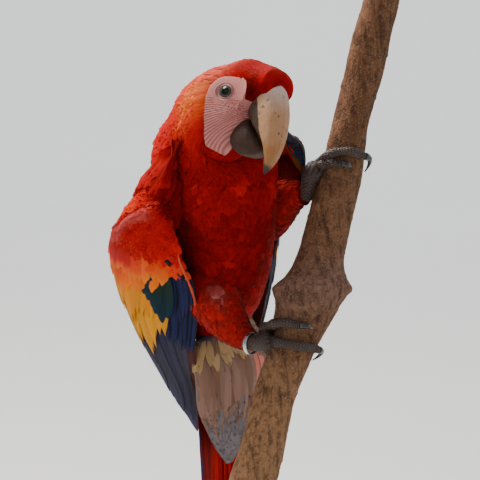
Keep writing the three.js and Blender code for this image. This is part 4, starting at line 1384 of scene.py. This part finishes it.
def tail_coverts():
    """A closed core and rows of long, loose vanes over it: mauve grey with some tan, olive at the roots."""
    t, a = tube_grid(50, 60, 0, 0.94)
    points = coverts_face(t, a, -2.5 * ramp(t, 1.05, 0.6) - 0.4)
    core = piece("coverts_core", points, closed(points), "tail_coverts", uv=np.zeros((*t.shape, 2)), dye=0.9,
                 wash=0.2, tone=0.2)
    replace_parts(core, "tail_coverts")
    finish(core, soft)
    t, a = roots(coverts_face, 0.004, 0.86, lambda t: 40.0, 0.13, 0.11, 71)
    chance = np.random.default_rng(72)
    size = np.minimum(mix(76, 40, t) * chance.uniform(0.75, 1.25, len(t)), (1.03 - t) * 195)
    lean = chance.normal(0, 0.09, len(t))
    mauve = ramp(t + 0.16 * waves(coverts_face(t, a), 40, 78), 0.18, 0.42)
    dye = np.where(mauve > chance.random(len(t)), 0.92, 0.055) + chance.normal(0, 0.002, len(t))
    wash = np.clip(mix(0.18, 0.27, mauve) + chance.normal(0, 0.03, len(t)), 0, 1)
    olive = (t < 0.09) & (chance.random(len(t)) < 0.7)
    size = np.where(olive, 24.0, size) * np.where((t < 0.1) & (np.cos(a) > 0.5), 0.2, 1.0)
    dye, wash = np.where(olive, 0.57, dye), np.where(olive, 0.22, wash)
    red = (np.cos(a) > 0.35) & (np.cos(a) < 0.8) & (chance.random(len(t)) < 0.3) & (t > 0.15)
    dye, wash = np.where(red, 0.34, dye), np.where(red, 0.30, wash)
    home = np.stack([a / 7 % 1, np.clip(t, 0, 1)], -1)
    made = coat("undertail_coverts", "tail_coverts", coverts_face, t, a, home, dye, wash, 73, length=size, half=3.6,
                rows=9, columns=4, sink=2.5, rise=0.5, drift=lean, arch=0.12, ragged=0.16, taper=0.75, shoulder=0.2)
    finish(made, soft)


tail_coverts()

DOWN_AT = (-35, -35, -86)  # in the body's frame, high on the right thigh


def thigh_coat(side):
    """Soft red feathers round a thigh, run down to the ankle, where the last ones stand out in a ragged edge."""
    surface = thighs[side]
    t, a = roots(surface, 0.02, 0.93, lambda t: mix(22.0, 11.0, t), 0.22, 0.26, 74)
    chance = np.random.default_rng(75)
    size = mix(24.0, 14.0, t) * chance.uniform(0.85, 1.15, len(t))
    dye = 0.20 + chance.normal(0, 0.015, len(t)) + 0.02 * waves(surface(t, a), 25, 76)
    parted = bell(np.linalg.norm(local(BODY, surface(t, a)) - DOWN_AT, axis=-1), 7.5)
    wash = 0.02 + 0.55 * parted * chance.random(len(t))
    home = np.stack([a / 7 % 1, t], -1)
    made = coat(f"thigh_coat_{side}", "red_plumage", surface, t, a, home, dye, wash, 77, length=size,
                half=size * 0.30, rows=6, columns=4, sink=mix(3.5, 1.2, t), rise=0.3 + 1.2 * t,
                drift=chance.normal(0, 0.12, len(t)), ragged=0.12, taper=0.55)
    finish(made, soft)


for side in thighs:
    thigh_coat(side)

# %% [markdown]
# ## Eyes
# An eyeball is a sphere about an axis that points out of the cheek, with the cornea as a low dome on it.
# Rings of its surface are told by their reach from that axis: a black pupil, then a pale iris that is darker
# at both its rims. One clear, wet coat lies over all of it.

# %% Eyeballs
EYE_FORWARD = 15.0  # degrees that the eye's axis points forward of sideways
HIDDEN = 20.0  # added to the reach on the ball's far side, so that no ring shows there


def eyeball(side):
    """A sphere of rings about the side axis, its radius larger by a low bell round the front pole."""
    u, v = tube_grid(90, 96, 0.0, math.pi)
    u = u + 1e-4
    radius = EYE_RADIUS + 0.45 * bell(u, 0.5) - 0.25
    around = np.stack([np.cos(u), np.sin(u) * np.cos(v), np.sin(u) * np.sin(v)], -1) * radius[..., None]
    around = around @ turned((0, 0, -EYE_FORWARD), "Z").T
    points = place(HEAD, (around + EYE_AT) * mirrored(side))
    reach = np.sin(u) * EYE_RADIUS + HIDDEN * (u > 1.6)
    made = piece(f"eyeball_{side}", points, closed(points), "eye", reach=reach, turn=v)
    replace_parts(made, f"eye_{side}")
    finish(made, eye_material)


def wire_eye():
    """Pupil, iris with fine spokes, and the dark rim, by reach in mm from the axis."""
    reach = number("reach")
    spokes = calc("SINE", number("turn") * 46.0) * 0.12 + patchy(2500.0, 1.5)
    iris = tint(spokes, (0.030, 0.034, 0.024), (0.085, 0.090, 0.066))
    iris = tint(stepped(reach, 4.2, 3.3), iris, (0.012, 0.013, 0.010))
    iris = tint(stepped(reach, 4.6, 5.4), iris, (0.008, 0.007, 0.006))
    return {"Base Color": tint(stepped(reach, 3.35, 3.0), iris, (0.001, 0.001, 0.001))}


eye_material = material("wet_eye", wire_eye, Roughness=0.3, Coat_Weight=0.28, Coat_Roughness=0.08,
                        Specular_IOR_Level=0.05)
for side in WINGS:
    eyeball(side)

# %% [markdown]
# ## Bill
# Each half of the bill is swept between two profile curves of the head's middle plane, an outer and an inner
# one, with oval sections across them. The upper half gets a low keel, growth lines and chips; its horn is
# ivory over a dark wedge at the cutting edge by the gape, with brown stains and a worn dark tip. The lower
# half is dark brown horn all over.

# %% The two halves of the bill
CULMEN = [(-6, 3), (1.5, -1), (9, -10), (14, -24), (17, -41), (17.2, -57), (14.2, -70), (8.5, -78)]
UPPER_EDGE = [(-24, -22), (-21, -30), (-13, -38), (-5, -46), (1.5, -53), (5, -60), (6.8, -69), (8, -78)]
UPPER_HALF_WIDTH = [(13.5,), (15,), (15.2,), (14.5,), (12.3,), (9,), (5.5,), (1,)]
CHIN = [(-27, -36), (-32, -46), (-33, -55.5), (-28, -62.5), (-19, -65.5), (-8, -65), (0, -61), (3, -58)]
LOWER_EDGE = [
    (-21, -31), (-15, -38), (-10, -43), (-5.5, -47.5), (-2, -51), (0.5, -54), (2.4, -56), (3.4, -57.4),
]
LOWER_HALF_WIDTH = [(9,), (14,), (16,), (16,), (14,), (11,), (7,), (2.5,)]


def bill_face(outer, inner, widths, keel, powers):
    """Ovals between an outer and an inner profile curve, with a keel along the outer one and h out of the horn.

    A small power of the cosine gives the half towards the inner curve upright walls near the gape; on the outer
    half the power goes from the first of powers at the root to the second.
    """

    def surface(t, a, h=0.0):
        far, near = along(outer, t), along(inner, t)
        across = unit(far - near)
        half = np.linalg.norm(far - near, axis=-1) / 2
        c, s = np.cos(a), np.sin(a)
        wall = np.where(s < 0, mix(0.4, 0.85, ramp(t, 0.3, 0.65)), mix(*powers, ramp(t, 0.05, 0.35)))
        wide = (along(widths, t)[..., 0] + h) * np.sign(c) * np.abs(c) ** wall
        wide = wide * (1 - 0.10 * keel * np.maximum(s, 0) ** 3)
        high = (half + h + keel * bell(c, 0.16) * (s > 0)) * np.sign(s) * np.abs(s) ** 0.85
        flat = (far + near) / 2 + across * high[..., None]
        return place(HEAD, np.stack([wide, -flat[..., 0], flat[..., 1]], -1))

    return surface


def bill_half(name, node_name, slot, surface, relief):
    """One half as a closed piece, with relief added to it and its chart kept for the material."""
    u, a = tube_grid(150, 160, first=-math.pi)
    t = 1 - (1 - u) ** 1.15
    points = surface(t, a, relief(t, surface(t, a)))
    head = local(HEAD, points)
    made = piece(name, points, closed(points), slot, lengthwise=t, sine=np.sin(a), cosine=np.cos(a),
                 ahead=-head[..., 1], above=head[..., 2], pit=pits(points, t))
    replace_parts(made, node_name)
    return made


def pits(points, t):
    """Small worn pits, from 0 to 1, scattered over the upper half's side."""
    return ramp(waves(points, 6.5, 84), 0.62, 0.74) * ramp(t, 0.08, 0.2) * ramp(t, 0.8, 0.6)


def upper_relief(t, points):
    """Low growth waves, soft dents and a few small pits, in mm."""
    growth = 0.10 * np.sin(46 * t + 3 * waves(points, 30, 81)) * ramp(t, 0.0, 0.3)
    dents = 0.22 * waves(points, 13, 82) + 0.08 * waves(points, 3.5, 83)
    return (growth + dents - 0.5 * pits(points, t)) * ramp(t, 1.0, 0.94) - 0.25


def lower_relief(t, points):
    """Soft dents, in mm."""
    return (0.2 * waves(points, 9, 85) + 0.08 * waves(points, 3, 86)) * ramp(t, 1.0, 0.9) - 0.3


upper_face = bill_face(CULMEN, UPPER_EDGE, UPPER_HALF_WIDTH, 0.6, (0.55, 1.05))
lower_face = bill_face(CHIN, LOWER_EDGE, LOWER_HALF_WIDTH, 0.0, (0.85, 0.85))
bill_upper = bill_half("upper_mandible", "bill_upper", "bill_pale", upper_face, upper_relief)
bill_lower = bill_half("lower_mandible", "bill_lower", "bill_dark", lower_face, lower_relief)

# %% Horn
def wire_ivory():
    """Ivory horn: warm stains below, a painted highlight along the top near the root, a dark wedge at the gape,
    lines of growth, scratches, a worn dark tip.
    """
    along_it, sine = number("lengthwise"), number("sine")
    cloud, fine = patchy(75.0, 1.8), patchy(700.0, 2.0)
    colour = tint(cloud, (0.42, 0.21, 0.105), (0.52, 0.31, 0.185))
    warm = stepped(along_it, 0.25, 0.75) * stepped(cloud, 0.15, 0.85, 1.0, 0.5)
    colour = tint(warm, colour, (0.42, 0.165, 0.045))
    # painted highlight: paler pink-white along the top near the root
    pale = stepped(along_it, 0.45, 0.10) * stepped(sine, 0.0, 0.9)
    colour = tint(pale * 0.85, colour, (0.74, 0.58, 0.55))
    chart = Signal(node("CombineXYZ", {0: sine, 1: number("cosine"), 2: along_it * 0.2}))
    streak = patchy(9.0, 3.5, chart)
    colour = tint(streak * stepped(along_it, 0.5, 0.85, 0.12, 0.75), colour, (0.20, 0.085, 0.035))
    colour = tint(fine * 0.18, colour, (0.16, 0.09, 0.06))
    colour = tint(number("pit") * 0.75, colour, (0.13, 0.05, 0.025))
    slanted = number("ahead") + number("above") * 0.36 + cloud * 2.4
    lip = stepped(sine, -0.86, -0.95) * stepped(along_it, 0.72, 0.55)
    wedge = calc("MAXIMUM", stepped(slanted, -12.2, -13.8), lip)
    colour = tint(wedge * 0.94, colour, tint(fine, (0.015, 0.008, 0.006), (0.050, 0.031, 0.024)))
    tip = stepped(along_it + cloud * 0.05, 0.86, 0.93)
    colour = tint(tip * 0.93, colour, (0.040, 0.028, 0.024))
    rough = stepped(fine, 0.2, 0.9, 0.34, 0.55)
    return {"Base Color": colour, "Roughness": rough, "Normal": bump(fine + streak * 0.6, 0.00022)}


def wire_dark_horn():
    """Dark brown horn with grey scuffs and a few pale ones along its lower rim."""
    cloud, fine = patchy(130.0, 1.8), patchy(900.0, 2.4)
    colour = tint(cloud, (0.026, 0.012, 0.008), (0.056, 0.027, 0.018))
    colour = tint(fine * 0.25, colour, (0.085, 0.055, 0.042))
    rim = stepped(number("sine"), 0.80, 0.95) * stepped(fine, 0.3, 0.7)
    colour = tint(rim * 0.35, colour, (0.30, 0.23, 0.19))
    rough = stepped(fine, 0.1, 0.9, 0.36, 0.58)
    return {"Base Color": colour, "Roughness": rough, "Normal": bump(fine, 0.0002)}


finish(bill_upper, material("ivory_horn", wire_ivory, Specular_IOR_Level=0.25, Subsurface_Weight=0.08,
                            Subsurface_Scale=0.002))
finish(bill_lower, material("dark_horn", wire_dark_horn, Specular_IOR_Level=0.12))

# %% [markdown]
# ## Branch
# The branch is a column of ovals along a leaning line, with a swollen knot that has a stub at each side, and
# two smaller knobs. Its bark is shape down to a millimetre or two, ridges that run along it and small warts,
# and bump below that.

# %% Branch with its bark
BRANCH_LOW, BRANCH_HIGH = -300, 260
BRANCH = [
    (-10.5, 28, 23), (-0.3, 28, 22.5), (10, 28, 22), (20.3, 28, 21), (30.5, 28, 20.2), (44.5, 28, 20.8),
    (60, 28, 24), (69.5, 28, 22), (80.5, 28, 20), (89.7, 28, 19.2), (97.7, 28, 17.6), (107.4, 28, 17.4),
    (117.3, 28, 17.2), (127.2, 28, 17), (137, 28, 17),
]  # side, away and radius, evenly spaced upwards
KNOT_AT = -42


def branch_station(up):
    """Side, away and radius of the branch's stations at a height."""
    return along(BRANCH, (up - BRANCH_LOW) / (BRANCH_HIGH - BRANCH_LOW))


def branch_reach(up, angle):
    """The branch's radius at a height and an angle: its stations, the knot, two stubs and slow waves."""

    def stub(at, height, reach):
        off = np.arctan2(np.sin(angle - at), np.cos(angle - at))
        return reach * bell(off, 0.38) * bell(up - height, 7)

    knot = 7 * bell(up - KNOT_AT, 17) + 3 * bell(up - KNOT_AT + 24, 20)
    slow = 0.7 * np.sin(2 * angle + up / 21) + 0.5 * np.sin(3 * angle - up / 13)
    radius = branch_station(up)[..., 2]
    return radius + knot + stub(math.pi, KNOT_AT - 1, 5.5) + stub(0, KNOT_AT - 2, 6) + slow


def grip(angle, up, off):
    """A point off mm out of the bark at a height and an angle: 180 degrees the bird's side, 90 the front."""
    angle, up = np.broadcast_arrays(np.asarray(angle, float), up)
    turn = np.radians(angle)
    reach, middle = branch_reach(up, turn) + off, branch_station(up)
    return np.stack([middle[..., 0] + reach * np.cos(turn), middle[..., 1] - reach * np.sin(turn), up], -1)


def perch():
    """The bark as a closed column of rings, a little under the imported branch's surface for the toes to close on."""
    up, turn = tube_grid(520, 180, BRANCH_LOW, BRANCH_HIGH, whole=360)
    smooth = grip(turn, up, 0)
    stretched = smooth * (1, 1, 0.28)
    ridges = 0.45 * waves(stretched, 9, 91) + 0.28 * waves(stretched, 3.6, 92)
    warts = 0.9 * ramp(waves(smooth, 8, 93), 0.50, 0.80)
    rough_knot = 1.0 * waves(smooth, 11, 94) * bell(up - KNOT_AT + 4, 22)
    worn = bell(up + 95, 16) * 0.7 + bell(up - 66, 14) * 0.7
    points = grip(turn, up, (ridges + warts * 0.6 + rough_knot) * (1 - worn) - 0.6)
    made = piece("perch_bark", points, closed(points), "bark", upward=up, height=ridges + warts,
                 knot=bell(up - KNOT_AT, 26))
    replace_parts(made, "perch")
    return made


def wire_bark():
    """Brown bark: darkened in its furrows as painted shade, greyer and pinker at the knot, speckled, with pale lichen
    flecks.
    """
    up = number("upward")
    broad, grain = patchy(28.0, 1.8), patchy(420.0, 2.4, position(1.0, 1.0, 0.3))
    speck, blotch = patchy(620.0, 3.2), patchy(190.0, 4.0)
    colour = tint(broad, (0.15, 0.060, 0.027), (0.31, 0.150, 0.074))
    colour = tint(stepped(up, -70.0, -170.0, 0.0, 0.8), colour, (0.42, 0.21, 0.098))
    colour = tint(number("knot") * 0.8, colour, (0.28, 0.148, 0.105))
    # painted shade: the furrows, low in the relief, darkened
    colour = tint(stepped(number("height"), 0.1, -0.45, 0.0, 0.65), colour, (0.030, 0.014, 0.009))
    colour = tint(stepped(blotch, 0.45, 0.95, 0.0, 0.45), colour, (0.042, 0.019, 0.011))
    colour = tint(grain * 0.35, colour, (0.045, 0.022, 0.014))
    colour = tint(stepped(speck, 0.66, 0.92, 0.0, 0.3), colour, (0.42, 0.29, 0.21))
    ends = stepped(up, BRANCH_HIGH - 1.2, BRANCH_HIGH - 0.4) + stepped(up, BRANCH_LOW + 1.2, BRANCH_LOW + 0.4)
    colour = tint(ends, colour, tint(grain, (0.50, 0.33, 0.18), (0.34, 0.20, 0.10)))
    return {"Base Color": colour, "Normal": bump(grain + speck * 0.7, 0.0009)}


finish(perch(), material("bark", wire_bark, Roughness=0.85, Specular_IOR_Level=0.12))

# %% [markdown]
# ## Feet and leg ring
# A macaw has two toes in front and two behind. A toe and its claw share one path round the bark, given by
# angle and height. The toe swells at each knuckle and is covered in scutes: rows of small beads at the sides
# and broad plates on top, worked into the mesh. A claw is a smooth, curved cone. The ring is a plain band of
# light metal.

# %% Toes, shanks and claws
SHANKS = {
    "right": [(5, 25, -90, 6.6), (14, 18, -91, 7), (22, 11, -90, 8), (27, 7, -88, 8)],
    "left": [(59, 33, 38, 6.6), (61, 27, 48, 7), (63, 18, 58, 8), (66, 9, 63, 8)],
}
TOES = {
    "right": [
        [(172, -86), (98, -92), (26, -97), (10, -101), (-6, -107)],
        [(164, -78), (128, -73), (92, -75), (78, -76), (64, -78)],
        [(178, -93), (240, -99), (300, -104), (316, -107), (330, -111)],
        [(184, -84), (222, -81), (262, -80), (277, -81), (292, -83)],
    ],
    "left": [
        [(170, 65), (102, 78), (36, 74), (18, 69), (2, 60)],
        [(160, 61), (128, 68), (92, 67), (78, 66), (64, 64)],
        [(178, 55), (240, 54), (300, 52), (316, 50), (330, 46)],
        [(184, 64), (222, 67), (262, 68), (277, 67), (292, 64)],
    ],
}  # angle and height: from the sole, by the claw's root at the third place, to the claw's point
CLAW_NAMES = ("outer_front", "inner_front", "outer_back", "inner_back")
TOE_RADIUS = 4.6
TOE_CLEAR = 0.5  # between the toe and the bark
TOE_FULL = {"left": 0.84, "right": 0.95}  # the left foot's toes are the thinner ones


def toe_face(path, full):
    """A toe along its path on the bark, swollen at the knuckles and rounded off at the claw; full scales it."""
    t = np.linspace(0, 1, 60)
    swell = 1 + 0.10 * np.cos(6 * math.pi * t)
    thick = TOE_RADIUS * full * mix(1.12, 0.8, t) * swell
    places = along(path, t / 2)
    return limb(np.hstack([grip(places[:, 0], places[:, 1], thick + TOE_CLEAR), thick[:, None]]), 200)


def claw_face(path):
    """A claw on from the toe's path: a cone that bows away from the bark and narrows to its point."""
    t = np.linspace(0, 1, 40)
    thick = mix(0.74 * TOE_RADIUS, 0.45, t)
    off = mix(TOE_RADIUS * 0.88, thick, t) + TOE_CLEAR + 2.2 * np.sin(math.pi * t)
    places = along(path, (1 + 0.97 * t) / 2)
    return limb(np.hstack([grip(places[:, 0], places[:, 1], off), thick[:, None]]), 120)


def beads(t, a, length, radius):
    """Scutes in mm: rings of rounded beads about 2 mm across, each ring half a bead on from the last."""
    rows, columns = length / 2.1, np.round(2 * math.pi * radius / 2.7)
    stagger = 0.5 * (np.floor(t * rows) % 2)
    bead = np.abs(np.sin(math.pi * t * rows)) ** 0.5 * np.abs(np.sin(a / 2 * columns + math.pi * stagger)) ** 0.5
    return 0.7 * bead


def rounded_end(t, start):
    """Shrinks a limb to a dome after start, as a quarter circle does."""
    return np.sqrt(np.maximum(1 - ramp(t, start, 1.0) ** 2, 0.0004))


def foot(side):
    """The shank and four toes of one foot, joined in one piece."""
    parts, faces, marks, count = [], [], [], 0
    lengths = [limb(SHANKS[side], 200)] + [toe_face(path, TOE_FULL[side]) for path in TOES[side]]
    t, a = tube_grid(150, 72)
    for surface in lengths:
        length = np.linalg.norm(np.diff(surface(t[:, 0], a[:, 0]), axis=0), axis=1).sum()
        bead = beads(t, a, length, 5.2)
        base = np.linalg.norm(surface(t, a, 0.0) - surface(t, a + math.pi, 0.0), axis=-1) / 2
        end = rounded_end(t, 0.9) if surface is not lengths[0] else 1.0
        points = surface(t, a, bead * end - 0.3 - base * (1 - end))
        parts.append(points.reshape(-1, 3))
        faces.append(closed(points) + count)
        marks.append(bead.ravel())
        count += points.shape[0] * points.shape[1]
    made = piece(f"scaly_foot_{side}", np.vstack(parts), np.vstack(faces), "foot_skin", bead=np.concatenate(marks))
    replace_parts(made, f"foot_{side}")
    finish(made, scales)


def claws(side):
    """The four claws of a foot, each a closed cone, as four pieces."""
    for name, path in zip(CLAW_NAMES, TOES[side]):
        t, a = tube_grid(50, 32)
        points = claw_face(path)(t, a)
        made = piece(f"horn_{side}_{name}", points, closed(points), "claw", out=t)
        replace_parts(made, f"claw_{side}_{name}")
        finish(made, claw_horn)


def rough_and_bump(fine, smooth, rough, depth):
    """The two signals of a fine grain: roughness from smooth to rough, and bump as deep as depth in metres."""
    return {"Roughness": stepped(fine, 0.1, 0.9, smooth, rough), "Normal": bump(fine, depth)}


def wire_scales():
    """Black-brown scutes with paler dusty patches; painted shade darkens the grooves between the beads to near black.
    """
    # painted shade: near black between the beads; the scutes' own black-brown on their tops
    colour = tint(stepped(number("bead"), 0.30, 0.66), (0.004, 0.003, 0.003), (0.068, 0.046, 0.039))
    colour = tint(patchy(120.0, 1.6) * 0.45, colour, (0.13, 0.075, 0.056))
    return {"Base Color": colour, **rough_and_bump(patchy(800.0, 1.8), 0.34, 0.60, 0.0002)}


def wire_claw():
    """Glossy black horn, browner towards the root."""
    colour = tint(number("out"), (0.030, 0.022, 0.020), (0.008, 0.007, 0.008))
    return {"Base Color": colour, **rough_and_bump(patchy(500.0, 2.0), 0.18, 0.36, 0.00008)}


scales = material("scutes", wire_scales, Specular_IOR_Level=0.32)
claw_horn = material("claw_horn", wire_claw, Specular_IOR_Level=0.6)
for side in SHANKS:
    foot(side)
    claws(side)

# %% The leg ring
def lathe(name, node_name, slot, section, axis_from, axis_to, around=96):
    """A closed section of (radius, along) points turned round the line between two posed points."""
    way = unit(np.asarray(axis_to, float) - axis_from)
    side = unit(np.cross(way, (0.3, 1.0, 0.2)))
    other = np.cross(way, side)
    angle = np.linspace(0, 2 * math.pi, around + 1)[:-1]
    ring = np.cos(angle)[:, None, None] * side + np.sin(angle)[:, None, None] * other
    radius, run = section.T
    points = np.asarray(axis_from, float) + ring * radius[None, :, None] + way * run[None, :, None]
    faces = grid_faces(around, len(radius), True)
    last = grid_faces(2, len(radius), True)
    faces = np.vstack([faces, np.where(last < len(radius), last + (around - 1) * len(radius), last - len(radius))])
    made = piece(name, points, outward(points.reshape(-1, 3), faces), slot)
    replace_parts(made, node_name)
    return made


def rounded_band(inside, outside, low, high, edge):
    """The section of a band: a rectangle with its four corners rounded by edge."""
    corners = [(outside, high, 0), (inside, high, 90), (inside, low, 180), (outside, low, 270)]
    points = []
    for x, y, start in corners:
        turn = np.radians(start + np.linspace(0, 90, 7))
        cx = x - edge if x == outside else x + edge
        cy = y - edge if y == high else y + edge
        points.append(np.stack([cx + edge * np.cos(turn), cy + edge * np.sin(turn)], -1))
    return np.vstack(points)


def wire_ring():
    """Light metal, brushed round and scuffed."""
    colour = tint(patchy(200.0, 2.0), (0.62, 0.63, 0.65), (0.40, 0.41, 0.43))
    return {"Base Color": colour, **rough_and_bump(patchy(900.0, 1.6), 0.22, 0.42, 0.00005)}


shank_from, shank_to = (np.array(row[:3], float) for row in SHANKS["right"][:2])
ring_middle = mix(shank_from, shank_to, 0.55) + (0, 0, -1.1)
ring_top = ring_middle + unit(shank_to - shank_from)
band = rounded_band(8.9, 10, -1.8, 1.8, 0.35)
ring = lathe("ring_band", "leg_ring", "leg_ring", band, ring_middle, ring_top)
finish(ring, material("ring_metal", wire_ring, Metallic=1.0))

# %% [markdown]
# ## Stand
# A dark wooden plinth, a small steel flange and a rod hold the branch. The plinth is a rounded slab with
# softened edges; the flange and the rod are turned. They stand upright on the floor, so they are made in the
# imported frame's directions.

# %% Plinth, flange and rod
ROUNDED, CORNER = 3, 26  # mm, of the plinth's edge and of its corners seen from above


def packed_box(node_name):
    """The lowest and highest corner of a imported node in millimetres."""
    return (np.array(corner) * 1000 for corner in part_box(node_name))


def upright_posed(points):
    """Packed millimetres as posed ones, so that a level thing can go through the same door as the rest."""
    return (np.asarray(points, float) - SHIFT) @ LEAN


def plinth():
    """Rings of one rounded rectangle, from its foot over a softened edge to its middle, closed below and above."""
    low, high = packed_box("stand_base")
    half, middle, height = (high - low)[:2] / 2, (high + low)[:2] / 2, high[2]
    edge = np.radians(np.linspace(0, 90, 9))
    inset = np.concatenate([ROUNDED - ROUNDED * np.sin(edge), ROUNDED - ROUNDED * np.cos(edge), [20, 60, 110]])
    level = [ROUNDED - ROUNDED * np.cos(edge), height - ROUNDED + ROUNDED * np.sin(edge), [height] * 3]
    inset, level = inset[:, None], np.concatenate(level)[:, None]
    turn = np.linspace(0, 2 * math.pi, 321)[:-1]
    corner = np.maximum(CORNER - inset * 0.4, 4)
    c, s = np.cos(turn), np.sin(turn)
    points = np.stack([
        np.sign(c) * (half[0] - inset - corner) * (np.abs(c) > 1e-9) * np.clip(np.abs(c) * 40, 0, 1) + corner * c,
        np.sign(s) * (half[1] - inset - corner) * np.clip(np.abs(s) * 40, 0, 1) + corner * s,
        level + 0 * c,
    ], -1) + (*middle, 0)
    points = upright_posed(points)
    made = piece("plinth", points, closed(points), "stand_wood")
    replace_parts(made, "stand_base")
    return made


def wire_wood():
    """Dark oiled wood, its grain run along the plinth, with fine pores."""
    stretched = position(1.0, 0.08, 1.0)
    grain, pores = patchy(90.0, 2.2, stretched), patchy(900.0, 3.0, stretched)
    colour = tint(grain, (0.035, 0.018, 0.010), (0.085, 0.045, 0.024))
    colour = tint(stepped(pores, 0.7, 1.0, 0.0, 0.6), colour, (0.012, 0.006, 0.004))
    rough = stepped(pores, 0.2, 1.0, 0.34, 0.6)
    return {"Base Color": colour, "Roughness": rough, "Normal": bump(pores, 0.0001)}


def wire_steel():
    """Satin steel with faint lines."""
    lines = patchy(300.0, 1.6, position(1.0, 1.0, 12.0))
    colour = tint(lines, (0.36, 0.37, 0.38), (0.50, 0.51, 0.52))
    return {"Base Color": colour, "Roughness": stepped(lines, 0.1, 0.9, 0.26, 0.4)}


finish(plinth(), material("oiled_wood", wire_wood, Specular_IOR_Level=0.45))
steel = material("satin_steel", wire_steel, Metallic=1.0)
for name, node_name, edge in (("flange", "stand_flange", 1.2), ("rod", "stand_rod", 0.6)):
    low, high = packed_box(node_name)
    foot_at = np.array([(low[0] + high[0]) / 2, (low[1] + high[1]) / 2, low[2]])
    radius, tall = (high[0] - low[0]) / 2, high[2] - low[2]
    section = rounded_band(0.0, radius, 0.0, tall, edge)
    section = np.vstack([(0.01, 0.0), section[section[:, 0] > edge][::-1], (0.01, tall)])
    axis = upright_posed(np.array([foot_at, foot_at + (0, 0, 1)]))
    finish(lathe(name, node_name, "stand_steel", section, axis[0], axis[1], 64), steel)

# %% [markdown]
# ## Floor, light and camera
# A pale floor runs up behind the bird in one smooth sweep. The light is soft daylight: a wide sky from all
# round, a large panel high behind the bird's right that rims the head, the back and the branch, and a fainter
# one from the front. The camera looks a little down from the front through a long lens.


# %% The stage
UNDER_FEET = 0.0005  # metres that the floor lies below the plinth, so that the two don't touch


def stage():
    """A sweep of floor: level under the bird, then bending up far behind it."""
    u, v = np.meshgrid(np.linspace(-6, 6, 3), np.linspace(0, 1, 41), indexing="ij")
    level, bend_radius, high = 4.0, 3.0, 4
    bend = bend_radius * math.pi / 2
    run = v * (2 * level + bend + high)
    turn_at = np.clip((run - 2 * level) / bend_radius, 0, math.pi / 2)
    y = -level + np.minimum(run, 2 * level) + bend_radius * np.sin(turn_at)
    z = bend_radius * (1 - np.cos(turn_at)) + np.maximum(run - 2 * level - bend, 0)
    points = np.stack([u, y, z - UNDER_FEET], -1).reshape(-1, 3)
    mesh = bpy.data.meshes.new("floor")
    mesh.from_pydata(points.tolist(), [], grid_faces(3, 41).tolist())
    mesh.shade_smooth()
    made = bpy.data.objects.new("floor", mesh)
    bpy.context.scene.collection.objects.link(made)
    return finish(made, material("studio_paper", wire_paper, Roughness=0.9, Specular_IOR_Level=0.2))


def wire_paper():
    """Pale grey paper, hardly uneven."""
    return {"Base Color": tint(patchy(1.5, 0.8), (0.60, 0.61, 0.60), (0.66, 0.66, 0.65))}


stage()


def panel(name, at, towards, size, power, colour):
    """A square area light at a place, facing another."""
    light = bpy.data.lights.new(name, "AREA")
    light.size, light.energy, light.color = size, power, colour
    made = bpy.data.objects.new(name, light)
    made.location = at
    made.rotation_euler = (Vector(towards) - Vector(at)).to_track_quat("-Z", "Y").to_euler()
    bpy.context.scene.collection.objects.link(made)
    return made


MIDDLE = world((0, 0, 0))
panel("rim_light", (-1.15, 0.6, 2.5), MIDDLE, 1.0, 130.0, (1.0, 0.95, 0.88))
panel("front_light", (-1.2, -2.6, 1.9), MIDDLE, 2.2, 26.0, (1.0, 0.98, 0.95))
panel("side_light", (2.4, 0.4, 1.4), MIDDLE, 1.6, 20.0, (0.94, 0.97, 1.0))
panel("floor_light", (0.0, 4.4, 4.0), (0.0, 4.8, 0.0), 4.0, 260.0, (0.98, 0.99, 1.0))

sky = bpy.data.worlds.new("sky")
sky.use_nodes = True
sky.node_tree.nodes["Background"].inputs["Color"].default_value = (0.84, 0.88, 0.92, 1)
sky.node_tree.nodes["Background"].inputs["Strength"].default_value = 0.5
bpy.context.scene.world = sky

# %% The camera
CAMERA_REACH = 3.2  # metres from the posed frame's origin
CAMERA_RISE = math.radians(8)
VIEW_WIDTH = 0.4224  # metres seen across at that distance

camera_data = bpy.data.cameras.new("camera")
camera_data.lens = camera_data.sensor_width * CAMERA_REACH / VIEW_WIDTH
camera_data.clip_end = 50
camera = bpy.data.objects.new("camera", camera_data)
camera.location = Vector(MIDDLE) + CAMERA_REACH * Vector((0, -math.cos(CAMERA_RISE), math.sin(CAMERA_RISE)))
camera.rotation_euler = (math.pi / 2 - CAMERA_RISE, 0, 0)
bpy.context.scene.collection.objects.link(camera)
bpy.context.scene.camera = camera
